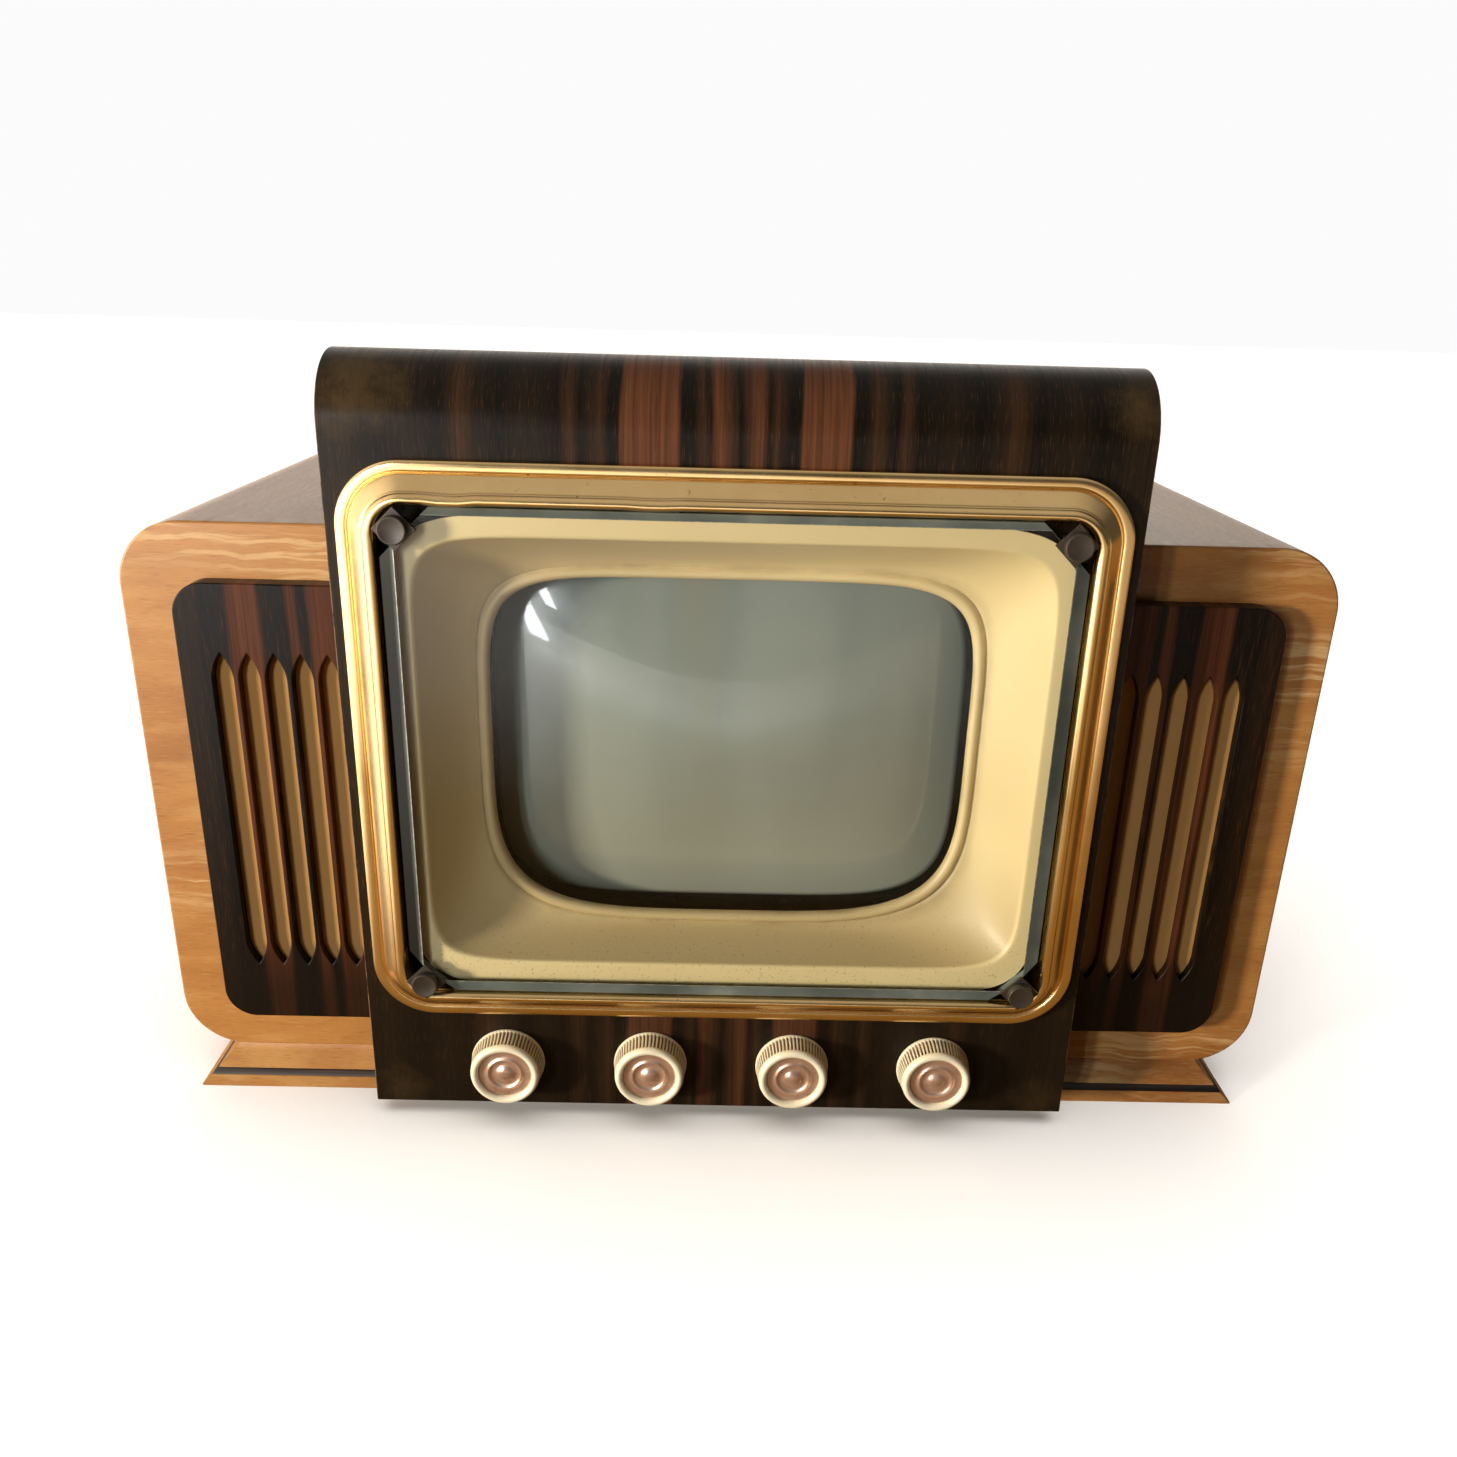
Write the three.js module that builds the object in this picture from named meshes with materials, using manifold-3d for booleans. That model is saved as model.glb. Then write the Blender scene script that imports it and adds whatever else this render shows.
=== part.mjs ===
// A table-model tube television of the early 1950s. A wide wooden cabinet with round corners holds
// a loudspeaker in each wing, behind a slotted grille board. A bent, veneered hood stands in front
// of it and carries the picture tube's frame and the four control knobs.
//
// Millimetres. X runs to the viewer's right, Y to the back of the set and Z up. The origin is the
// middle of the set's bounding box, on the surface that the set stands on.
import * as THREE from 'three';
import { mergeVertices } from 'three/addons/utils/BufferGeometryUtils.js';
import Module from 'manifold-3d';

// ---------------------------------------------------------------- driving dimensions

const CLEARANCE = 0.3; // between pieces that rest on each other

// cabinet
const CABINET_WIDTH = 700;
const CABINET_BOTTOM = 22.6;
const CABINET_TOP = 369.4;
const CABINET_CORNER = 38;
const CABINET_DEPTH = 400;
const BOARD = 12; // thickness of every wooden board
const BAND_Y = -197; // front face of the blond front board
const BACK_Y = BAND_Y + CABINET_DEPTH;

// grille boards, in the cabinet's wings
const GRILLE_OUTER_X = 317;
const GRILLE_BOTTOM = 52.6;
const GRILLE_TOP = 337.1;
const GRILLE_CORNER = 19;
const GRILLE_FRONT_Y = BAND_Y - 12;
const SLOT_COUNT = 5;
const SLOT_PITCH = 15.3;
const SLOT_FIRST_X = 292.8;
const SLOT_WIDTH = 12;
const SLOT_BOTTOM = 91.8;
const SLOT_TOP = 296;
const SLOT_TIP = 17; // length of a slot's pointed end
const CLOTH = 0.6;
const CLOTH_MARGIN = 4; // how far the cloth reaches past the loudspeaker's aperture, sideways
const SLAT_THICK = 5.4; // what is left of a grille board in front of its cloth
const CLOTH_Y = GRILLE_FRONT_Y + SLAT_THICK + CLEARANCE;

// hood
const HOOD_WIDTH = 434.6;
const HOOD_BOTTOM = 11.1;
const HOOD_TOP = 465;
const HOOD_BEND = 37; // outer radius of the bend over the screen
const HOOD_Y = BAND_Y - 40; // front face of the fascia
const ROOF_SLOPE = THREE.MathUtils.degToRad(13.3);
const CHEEK_OUTER_X = 214;

// plinth
const PLINTH_TOP_X = 319.3;
const PLINTH_TOP_Y = BAND_Y + 5.6;
const PLINTH_FLARE = 20.6;
const PLINTH_BACK_Y = BACK_Y - 5;
const PLINTH_BOARD = 30;
const INLAY_LOW = 4.9;
const INLAY_HIGH = 8.1;
const INLAY_DEPTH = 1.5;

// screen: sizes are measured from its centre, sideways, downwards and, where it differs, upwards
const SCREEN_Z = 246;
const BEZEL_HALF = [210.8, 166.8];
const BEZEL_CORNER = 36;
const BEZEL_BAND = 24.3;
const BEZEL_TOP_SPARE = 3; // the band is this much narrower along the top
const BEZEL_RISE = 20; // height of the bezel's crest above the fascia
const GLASS_SIZE = [185, 142, 145];
const GLASS_THICK = 6;
const GLASS_CLIP = 27; // how much of each corner is cut off
const GLASS_BEVEL = [8, 8, 3.4];
const MASK_FLANGE_SIZE = [183, 140.5, 142];
const MASK_LINE_SIZE = [171.3, 123.5, 129.6]; // where the flange turns into the slope
const MASK_LINE_SQUARENESS = 11;
const MASK_OPENING_SIZE = [137.5, 103.5, 103.5];
const MASK_OPENING_SQUARENESS = 5;
const MASK_THICK = 2.6;
const STUD_X = 175.3;
const STUD_RISE = 134;
const STUD_HEAD = 7.5; // radius
const STUD_HEAD_DEPTH = 6;
const STUD_SHANK = 2.5;
const FASCIA_OPENING_SIZE = [166, 123, 128];
const SCREEN_SQUARENESS = 9; // power of the loops that look like rounded rectangles

// picture tube
const TUBE_GAP_X = 178; // half width of the gap that the cabinet leaves for the bulb
const TUBE_GAP_FLOOR = 106;
const TUBE_GAP_BACK_Y = -90;
const TUBE_FACE_Y = BAND_Y - 18;
const TUBE_END_Y = TUBE_FACE_Y + 413;
const TUBE_HALF = [162, 124];
const NECK_RADIUS = 18.5;
const BULB_WALL = 6;

// front controls
const CONTROLS = ['volume', 'brightness', 'contrast', 'channel'];
const CONTROL_PITCH = 88.6;
const CONTROL_Z = 43;
const KNOB_DEPTH = 17;
const KNOB_BASE_RADIUS = 22.7;
const KNOB_RIM_RADIUS = 20.2;
const INSERT_RADIUS = 16;
const SPINDLE_RADIUS = 3;
const BUSH_RADIUS = 4.7;

// back
const COVER_THICK = 4;
const COVER_Y = BACK_Y + CLEARANCE;
const CUP_END_Y = -(HOOD_Y - BEZEL_RISE - CLEARANCE - STUD_HEAD_DEPTH); // mirrors the stud heads

// ---------------------------------------------------------------- finishes

const finish = (color, roughness, metalness = 0) => (
  new THREE.MeshStandardMaterial({ color, roughness, metalness })
);
const BLOND = finish(0xc08a4e, 0.5);
const EBONY = finish(0x2a1a12, 0.35);
const DARK_LINE = finish(0x1c1412, 0.5);
const CLOTH_TAN = finish(0xa98a62, 0.95);
const GOLD = finish(0xc99a45, 0.25, 1);
const CREAM = finish(0xd8c69a, 0.55);
const GLASS = finish(0x9fb5b0, 0.05);
const PHOSPHOR = finish(0x8f9c93, 0.15);
const IVORY = finish(0xefe3c4, 0.45);
const ROSE = finish(0xa98a7f, 0.35, 0.6);
const NICKEL = finish(0x4a4542, 0.35, 0.9);
const STEEL = finish(0x8d8f90, 0.45, 0.9);
const CAN = finish(0xb9bcbd, 0.35, 0.9);
const BAKELITE = finish(0x2b1b14, 0.4);
const COPPER = finish(0x8a4a2a, 0.45, 0.5);
const FERRITE = finish(0x2f3133, 0.7);
const PAPER = finish(0x2d2a28, 0.95);
const FIBRE = finish(0x6b4a2f, 0.9);

// ---------------------------------------------------------------- geometry helpers

const wasm = await Module();
wasm.setup();

const television = new THREE.Group();

// One copy of each shared vertex, and no triangle without an area.
function welded(geometry) {
  const bare = new THREE.BufferGeometry();
  bare.setAttribute('position', geometry.getAttribute('position'));
  bare.setIndex(geometry.getIndex());
  const whole = mergeVertices(bare, 1e-3);
  const corners = whole.getIndex().array;
  const kept = [];
  for (let i = 0; i < corners.length; i += 3) {
    const [a, b, c] = corners.slice(i, i + 3);
    if (a !== b && b !== c && c !== a) kept.push(a, b, c);
  }
  whole.setIndex(kept);
  return whole;
}

function volumeOf(geometry) {
  const place = geometry.getAttribute('position');
  const corners = geometry.getIndex().array;
  const [a, b, c] = [new THREE.Vector3(), new THREE.Vector3(), new THREE.Vector3()];
  let volume = 0;
  for (let i = 0; i < corners.length; i += 3) {
    a.fromBufferAttribute(place, corners[i]);
    b.fromBufferAttribute(place, corners[i + 1]);
    c.fromBufferAttribute(place, corners[i + 2]);
    volume += a.dot(b.cross(c)) / 6;
  }
  return volume;
}

// The same closed skin with its faces pointing out, whichever way its outline was drawn.
function facingOut(geometry) {
  const whole = welded(geometry);
  if (volumeOf(whole) < 0) whole.setIndex([...whole.getIndex().array].reverse());
  return whole;
}

function toSolid(geometry) {
  const whole = facingOut(geometry);
  return new wasm.Manifold(new wasm.Mesh({
    numProp: 3,
    vertProperties: whole.getAttribute('position').array,
    triVerts: Uint32Array.from(whole.getIndex().array),
  }));
}

function fromSolid(solid) {
  const mesh = solid.getMesh();
  const geometry = new THREE.BufferGeometry();
  geometry.setAttribute('position', new THREE.Float32BufferAttribute(mesh.vertProperties, 3));
  geometry.setIndex([...mesh.triVerts]);
  return geometry;
}

function cut(geometry, ...tools) {
  const left = tools.reduce((solid, tool) => solid.subtract(toSolid(tool)), toSolid(geometry));
  return fromSolid(left);
}

function join(...geometries) {
  const [first, ...rest] = geometries.map(toSolid);
  return fromSolid(rest.reduce((solid, next) => solid.add(next), first));
}

function place(name, geometry, material) {
  const mesh = new THREE.Mesh(facingOut(geometry).toNonIndexed(), material);
  mesh.geometry.computeVertexNormals();
  mesh.name = name;
  television.add(mesh);
}

// A shape drawn in X and Z, given a thickness backwards from frontY.
function frontBoard(shape, frontY, thickness, curveSegments = 4) {
  const board = new THREE.ExtrudeGeometry(shape, {
    depth: thickness, bevelEnabled: false, curveSegments,
  });
  const [right, up] = [new THREE.Vector3(1, 0, 0), new THREE.Vector3(0, 0, 1)];
  board.applyMatrix4(new THREE.Matrix4().makeBasis(right, up, new THREE.Vector3(0, -1, 0)));
  return board.translate(0, frontY + thickness, 0);
}

// A shape drawn in Y and Z, given a thickness to the right from leftX.
function sideBoard(shape, leftX, thickness, curveSegments = 6) {
  const board = new THREE.ExtrudeGeometry(shape, {
    depth: thickness, bevelEnabled: false, curveSegments,
  });
  const [back, up] = [new THREE.Vector3(0, 1, 0), new THREE.Vector3(0, 0, 1)];
  board.applyMatrix4(new THREE.Matrix4().makeBasis(back, up, new THREE.Vector3(1, 0, 0)));
  return board.translate(leftX, 0, 0);
}

function block([lowX, highX], [lowY, highY], [lowZ, highZ]) {
  const box = new THREE.BoxGeometry(highX - lowX, highY - lowY, highZ - lowZ);
  return box.translate((lowX + highX) / 2, (lowY + highY) / 2, (lowZ + highZ) / 2);
}

// A turned piece about the line through x and z that runs along Y: pairs of radius and y.
function turnedAlongY(profile, x, z, segments = 24) {
  const points = profile.map(([radius, y]) => new THREE.Vector2(radius, y));
  return new THREE.LatheGeometry(points, segments).translate(x, 0, z);
}

// A turned piece that stands upright at x and y: pairs of radius and z.
function turnedUpright(profile, x, y, segments = 16) {
  const points = profile.map(([radius, z]) => new THREE.Vector2(radius, z));
  return new THREE.LatheGeometry(points, segments).rotateX(Math.PI / 2).translate(x, y, 0);
}

function rod(radius, [lowY, highY], x, z, segments = 16) {
  return turnedAlongY([[0, lowY], [radius, lowY], [radius, highY], [0, highY]], x, z, segments);
}

function roundedRectangle(path, [lowX, highX], [lowZ, highZ], radius) {
  path.moveTo(lowX + radius, lowZ);
  path.lineTo(highX - radius, lowZ);
  path.absarc(highX - radius, lowZ + radius, radius, -Math.PI / 2, 0);
  path.lineTo(highX, highZ - radius);
  path.absarc(highX - radius, highZ - radius, radius, 0, Math.PI / 2);
  path.lineTo(lowX + radius, highZ);
  path.absarc(lowX + radius, highZ - radius, radius, Math.PI / 2, Math.PI);
  path.lineTo(lowX, lowZ + radius);
  path.absarc(lowX + radius, lowZ + radius, radius, Math.PI, 1.5 * Math.PI);
  return path;
}

// A loop like a rounded rectangle about the screen's centre. A higher power has squarer corners
// and 2 is an ellipse.
function screenLoop([halfWidth, reachDown, reachUp = reachDown], power, y, count = 32) {
  const loop = [];
  for (let i = 0; i < count; i += 1) {
    const angle = (2 * Math.PI * i) / count;
    const [c, s] = [Math.cos(angle), Math.sin(angle)];
    const x = halfWidth * Math.sign(c) * Math.abs(c) ** (2 / power);
    const z = (s > 0 ? reachUp : reachDown) * Math.sign(s) * Math.abs(s) ** (2 / power);
    loop.push(new THREE.Vector3(x, y, SCREEN_Z + z));
  }
  return loop;
}

// A loop with straight sides and round corners about the screen's centre.
function cornerLoop([halfWidth, reachDown, reachUp], radius, y, steps = 6) {
  const loop = [];
  const quarters = [[1, 1], [-1, 1], [-1, -1], [1, -1]];
  quarters.forEach(([sideX, sideZ], quarter) => {
    for (let i = 0; i <= steps; i += 1) {
      const angle = (Math.PI / 2) * (quarter + i / steps);
      const x = sideX * (halfWidth - radius) + radius * Math.cos(angle);
      const reach = sideZ > 0 ? reachUp : reachDown;
      const z = sideZ * (reach - radius) + radius * Math.sin(angle);
      loop.push(new THREE.Vector3(x, y, SCREEN_Z + z));
    }
  });
  return loop;
}

// Joins loops of one length into a closed skin. In a ring the last loop joins the first. Any other
// skin gets an end face at each end, split up as the outline endFace is.
function loft(loops, { ring = false, endFace = null } = {}) {
  const count = loops[0].length;
  const faces = [];
  const spans = ring ? loops.length : loops.length - 1;
  for (let k = 0; k < spans; k += 1) {
    const here = k * count;
    const next = ((k + 1) % loops.length) * count;
    for (let i = 0; i < count; i += 1) {
      const j = (i + 1) % count;
      faces.push(here + i, next + i, next + j, here + i, next + j, here + j);
    }
  }
  if (!ring) {
    const last = (loops.length - 1) * count;
    for (const [a, b, c] of endTriangles(count, endFace)) {
      faces.push(a, b, c, last + c, last + b, last + a);
    }
  }
  const geometry = new THREE.BufferGeometry();
  const places = loops.flat().flatMap((point) => point.toArray());
  geometry.setAttribute('position', new THREE.Float32BufferAttribute(places, 3));
  geometry.setIndex(faces);
  return geometry;
}

function endTriangles(count, endFace) {
  if (!endFace) {
    return Array.from({ length: count - 2 }, (_, i) => [0, i + 1, i + 2]);
  }
  const outline = endFace.map(([u, v]) => new THREE.Vector2(u, v));
  const triangles = THREE.ShapeUtils.triangulateShape(outline, []);
  if (!THREE.ShapeUtils.isClockWise(outline)) return triangles;
  return triangles.map(([a, b, c]) => [c, b, a]);
}

// ---------------------------------------------------------------- cabinet

function cabinetShell() {
  const half = CABINET_WIDTH / 2;
  const outline = roundedRectangle(
    new THREE.Shape(), [-half, half], [CABINET_BOTTOM, CABINET_TOP], CABINET_CORNER,
  );
  outline.holes.push(roundedRectangle(
    new THREE.Path(),
    [-half + BOARD, half - BOARD],
    [CABINET_BOTTOM + BOARD, CABINET_TOP - BOARD],
    CABINET_CORNER - BOARD,
  ));
  const frontY = BAND_Y + BOARD + CLEARANCE;
  const shell = frontBoard(outline, frontY, BACK_Y - frontY, 4);
  // the picture tube's bulb rises through the top, under the hood
  const tubeGap = block(
    [-TUBE_GAP_X, TUBE_GAP_X],
    [frontY - 5, TUBE_GAP_BACK_Y],
    [CABINET_TOP - 2 * BOARD, CABINET_TOP + 5],
  );
  place('cabinet_shell', cut(shell, tubeGap), BLOND);
}

const slotCentres = Array.from(
  { length: SLOT_COUNT }, (_, i) => SLOT_FIRST_X - i * SLOT_PITCH,
);
const SLOTS_MIDDLE_X = (slotCentres[0] + slotCentres[SLOT_COUNT - 1]) / 2;
const SPEAKER_Z = (SLOT_BOTTOM + SLOT_TOP) / 2;
const APERTURE_HALF_WIDTH = 38;

function frontBaffle() {
  const half = CABINET_WIDTH / 2;
  const outline = roundedRectangle(
    new THREE.Shape(), [-half, half], [CABINET_BOTTOM, CABINET_TOP], CABINET_CORNER,
  );
  for (const side of [-1, 1]) {
    const middle = side * SLOTS_MIDDLE_X;
    outline.holes.push(roundedRectangle(
      new THREE.Path(),
      [middle - APERTURE_HALF_WIDTH, middle + APERTURE_HALF_WIDTH],
      [SLOT_BOTTOM - 3, SLOT_TOP + 3],
      10,
    ));
  }
  const tubeGap = block(
    [-TUBE_GAP_X, TUBE_GAP_X],
    [BAND_Y - 5, BAND_Y + BOARD + 5],
    [TUBE_GAP_FLOOR, CABINET_TOP + 5],
  );
  place('front_baffle', cut(frontBoard(outline, BAND_Y, BOARD), tubeGap), BLOND);
}

function slotOutline(x) {
  const half = SLOT_WIDTH / 2;
  const shoulder = SLOT_TIP * 0.5; // where the pull of the pointed end's curve lies
  const slot = new THREE.Path();
  slot.moveTo(x - half, SLOT_BOTTOM + SLOT_TIP);
  slot.quadraticCurveTo(x - half, SLOT_BOTTOM + shoulder, x, SLOT_BOTTOM);
  slot.quadraticCurveTo(x + half, SLOT_BOTTOM + shoulder, x + half, SLOT_BOTTOM + SLOT_TIP);
  slot.lineTo(x + half, SLOT_TOP - SLOT_TIP);
  slot.quadraticCurveTo(x + half, SLOT_TOP - shoulder, x, SLOT_TOP);
  slot.quadraticCurveTo(x - half, SLOT_TOP - shoulder, x - half, SLOT_TOP - SLOT_TIP);
  return slot;
}

function grille(side) {
  const hand = side < 0 ? 'left' : 'right';
  const [inner, outer] = [CHEEK_OUTER_X + CLEARANCE, GRILLE_OUTER_X];
  const bend = GRILLE_CORNER;
  const outline = new THREE.Shape();
  outline.moveTo(side * inner, GRILLE_BOTTOM);
  outline.lineTo(side * (outer - bend), GRILLE_BOTTOM);
  const middleX = side * (outer - bend);
  const turn = side < 0 ? Math.PI : 0; // the direction that faces outwards
  outline.absarc(middleX, GRILLE_BOTTOM + bend, bend, -Math.PI / 2, turn, side < 0);
  outline.absarc(middleX, GRILLE_TOP - bend, bend, turn, Math.PI / 2, side < 0);
  outline.lineTo(side * inner, GRILLE_TOP);
  outline.holes = slotCentres.map((x) => slotOutline(side * x));
  // the cloth is glued into a recess in the board's back
  const backY = BAND_Y - CLEARANCE;
  const middle = side * SLOTS_MIDDLE_X;
  const reach = APERTURE_HALF_WIDTH + CLOTH_MARGIN;
  const behindSlots = (room, depth) => block(
    [middle - reach - room, middle + reach + room],
    depth,
    [SLOT_BOTTOM - 9 - room, SLOT_TOP + 9 + room],
  );
  const board = frontBoard(outline, GRILLE_FRONT_Y, backY - GRILLE_FRONT_Y, 3);
  const recess = behindSlots(CLEARANCE, [CLOTH_Y - CLEARANCE, backY + 5]);
  place(`grille_panel_${hand}`, cut(board, recess), EBONY);
  place(`grille_cloth_${hand}`, behindSlots(0, [CLOTH_Y, CLOTH_Y + CLOTH]), CLOTH_TAN);
}

// ---------------------------------------------------------------- hood

const BEND_Y = HOOD_Y + HOOD_BEND;
const BEND_Z = HOOD_TOP - HOOD_BEND;

// Where the roof's surface is, at a distance from the bend's centre line: the outer face is one
// bend radius away and the inner face one board less.
function roofHeight(distance, y) {
  const startY = BEND_Y + distance * Math.sin(ROOF_SLOPE);
  const startZ = BEND_Z + distance * Math.cos(ROOF_SLOPE);
  return startZ - (y - startY) * Math.tan(ROOF_SLOPE);
}

// The y at which the roof's surface comes down to a height.
function roofReach(distance, z) {
  const startY = BEND_Y + distance * Math.sin(ROOF_SLOPE);
  return startY + (roofHeight(distance, startY) - z) / Math.tan(ROOF_SLOPE);
}

function fasciaHood() {
  const topOfBend = Math.PI / 2 - ROOF_SLOPE;
  const seat = CABINET_TOP + CLEARANCE;
  const innerBend = HOOD_BEND - BOARD;
  const noseY = roofReach(HOOD_BEND, seat + 2);
  const side = new THREE.Shape();
  side.moveTo(HOOD_Y + BOARD, HOOD_BOTTOM);
  side.lineTo(HOOD_Y, HOOD_BOTTOM);
  side.absarc(BEND_Y, BEND_Z, HOOD_BEND, Math.PI, topOfBend, true);
  side.lineTo(noseY, seat + 2);
  side.lineTo(noseY, seat);
  side.lineTo(roofReach(innerBend, seat), seat);
  side.absarc(BEND_Y, BEND_Z, innerBend, topOfBend, Math.PI, false);
  const sheet = sideBoard(side, -HOOD_WIDTH / 2, HOOD_WIDTH);
  const through = [HOOD_Y - 5, HOOD_Y + BOARD + 5];
  const opening = new THREE.Shape(
    screenLoop(FASCIA_OPENING_SIZE, SCREEN_SQUARENESS, 0).map(({ x, z }) => new THREE.Vector2(x, z)),
  );
  const openingCutter = frontBoard(opening, through[0], through[1] - through[0]);
  const bushHoles = CONTROLS.map((_, i) => rod(BUSH_RADIUS + 0.5, through, controlX(i), CONTROL_Z));
  const studHoles = studPlaces.map(([, x, z]) => rod(STUD_SHANK + CLEARANCE, through, x, z, 12));
  place('fascia_hood', cut(sheet, openingCutter, ...bushHoles, ...studHoles), EBONY);
}

function controlX(index) {
  return (index - (CONTROLS.length - 1) / 2) * CONTROL_PITCH;
}

function hoodCheek(side) {
  const topOfBend = Math.PI / 2 - ROOF_SLOPE;
  const underside = HOOD_BEND - BOARD - CLEARANCE;
  const seat = CABINET_TOP + CLEARANCE;
  const frontY = HOOD_Y + BOARD + CLEARANCE;
  const bandY = BAND_Y - CLEARANCE;
  const outline = new THREE.Shape();
  outline.moveTo(frontY, CABINET_BOTTOM + CLEARANCE);
  outline.lineTo(bandY, CABINET_BOTTOM + CLEARANCE);
  outline.lineTo(bandY, seat);
  outline.lineTo(roofReach(underside, seat), seat);
  outline.absarc(BEND_Y, BEND_Z, underside, topOfBend, Math.PI, false);
  const leftX = side < 0 ? -CHEEK_OUTER_X : CHEEK_OUTER_X - BOARD;
  place(`hood_cheek_${side < 0 ? 'left' : 'right'}`, sideBoard(outline, leftX, BOARD, 4), EBONY);
}

// ---------------------------------------------------------------- plinth

// The moulding's outer face: it leaves the cabinet upright and sweeps out to the foot.
function flareAt(z) {
  const fall = 1 - z / CABINET_BOTTOM;
  return PLINTH_FLARE * (0.25 * fall * fall + 0.75 * fall) * Math.min(1, 0.6 + fall);
}

// The moulding's section: pairs of flare and height, with the groove for the inlay.
function plinthSection() {
  const top = CABINET_BOTTOM - CLEARANCE;
  const face = [0, INLAY_LOW].map((z) => [flareAt(z), z]);
  face.push([flareAt(INLAY_LOW) - INLAY_DEPTH, INLAY_LOW]);
  face.push([flareAt(INLAY_HIGH) - INLAY_DEPTH, INLAY_HIGH]);
  face.push(...[INLAY_HIGH, 12, 16, 19, top].map((z) => [flareAt(z), z]));
  return [...face, [-PLINTH_BOARD, top], [-PLINTH_BOARD, 0]];
}

function plinth() {
  const section = plinthSection();
  const loopAt = (toPoint) => section.map(([flare, z]) => new THREE.Vector3(...toPoint(flare), z));
  const half = CLEARANCE / 2;
  const front = [-1, 1].map((side) => (
    loopAt((flare) => [side * (PLINTH_TOP_X + flare - half), PLINTH_TOP_Y - flare])
  ));
  place('plinth_front', loft(front, { endFace: section }), BLOND);
  for (const side of [-1, 1]) {
    const x = (flare) => side * (PLINTH_TOP_X + flare);
    const ends = [
      loopAt((flare) => [x(flare), PLINTH_TOP_Y - flare + half]),
      loopAt((flare) => [x(flare), PLINTH_BACK_Y]),
    ];
    place(`plinth_${side < 0 ? 'left' : 'right'}`, loft(ends, { endFace: section }), BLOND);
  }
  const reach = PLINTH_TOP_X - PLINTH_BOARD - CLEARANCE;
  const rear = block(
    [-reach, reach], [PLINTH_BACK_Y - PLINTH_BOARD, PLINTH_BACK_Y], [0, CABINET_BOTTOM - CLEARANCE],
  );
  place('plinth_rear', rear, BLOND);
}

// One dark strip in the groove round the front and both sides.
function plinthInlay() {
  const gap = CLEARANCE / 2;
  const [low, high] = [INLAY_LOW + gap, INLAY_HIGH - gap];
  const section = [
    [flareAt(low), low],
    [flareAt(high), high],
    [flareAt(high) - INLAY_DEPTH + 2 * gap, high],
    [flareAt(low) - INLAY_DEPTH + 2 * gap, low],
  ];
  const stations = [[-1, PLINTH_BACK_Y], [-1, null], [1, null], [1, PLINTH_BACK_Y]];
  const loops = stations.map(([side, y]) => section.map(([flare, z]) => (
    new THREE.Vector3(side * (PLINTH_TOP_X + flare), y ?? PLINTH_TOP_Y - flare, z)
  )));
  place('plinth_inlay', loft(loops, { endFace: section }), DARK_LINE);
}

// ---------------------------------------------------------------- screen

const GLASS_Y = HOOD_Y - BEZEL_RISE;
const GLASS_BACK_Y = GLASS_Y + GLASS_THICK;
const MASK_Y = GLASS_BACK_Y + CLEARANCE;
const studPlaces = [
  ['top_left', -STUD_X, SCREEN_Z + STUD_RISE],
  ['top_right', STUD_X, SCREEN_Z + STUD_RISE],
  ['bottom_left', -STUD_X, SCREEN_Z - STUD_RISE],
  ['bottom_right', STUD_X, SCREEN_Z - STUD_RISE],
];

// A convex frame: a thin lip, a groove, a broad swelling face and a rolled inner edge.
function bezel() {
  const section = [
    [0, CLEARANCE], [0, 4], [1.6, 5.6], [5, 5.8], [6.6, 4], [8, 8.2], [12, 13.4], [16, 17.2],
    [20, BEZEL_RISE], [23, 19.2], [BEZEL_BAND, 16], [BEZEL_BAND, CLEARANCE],
  ];
  const loops = section.map(([inwards, rise]) => {
    const [halfWidth, reach] = BEZEL_HALF.map((size) => size - inwards);
    const reachUp = reach + (BEZEL_TOP_SPARE * inwards) / BEZEL_BAND;
    const corner = BEZEL_CORNER - (20 * inwards) / BEZEL_BAND;
    return cornerLoop([halfWidth, reach, reachUp], corner, HOOD_Y - rise);
  });
  place('bezel', loft(loops, { ring: true }), GOLD);
}

// A rectangle whose corners are cut off along the same four lines, whatever its own size.
function clippedLoop([halfWidth, reachDown, reachUp], y) {
  const [glassWidth, glassDown, glassUp] = GLASS_SIZE;
  const cutDown = glassWidth + glassDown - GLASS_CLIP;
  const cutUp = glassWidth + glassUp - GLASS_CLIP;
  const corners = [
    [halfWidth, halfWidth - cutDown], [halfWidth, cutUp - halfWidth],
    [cutUp - reachUp, reachUp], [reachUp - cutUp, reachUp],
    [-halfWidth, cutUp - halfWidth], [-halfWidth, halfWidth - cutDown],
    [reachDown - cutDown, -reachDown], [cutDown - reachDown, -reachDown],
  ];
  return corners.map(([x, z]) => new THREE.Vector3(x, y, SCREEN_Z + z));
}

// The bevel runs along the four edges only: the cut corners have none.
function safetyGlass() {
  const bevelled = GLASS_SIZE.map((size, i) => size - GLASS_BEVEL[i]);
  const loops = [
    clippedLoop(bevelled, GLASS_Y),
    clippedLoop(GLASS_SIZE, GLASS_Y + GLASS_THICK / 2),
    clippedLoop(GLASS_SIZE, GLASS_BACK_Y),
  ];
  place('safety_glass', loft(loops), GLASS);
}

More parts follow.
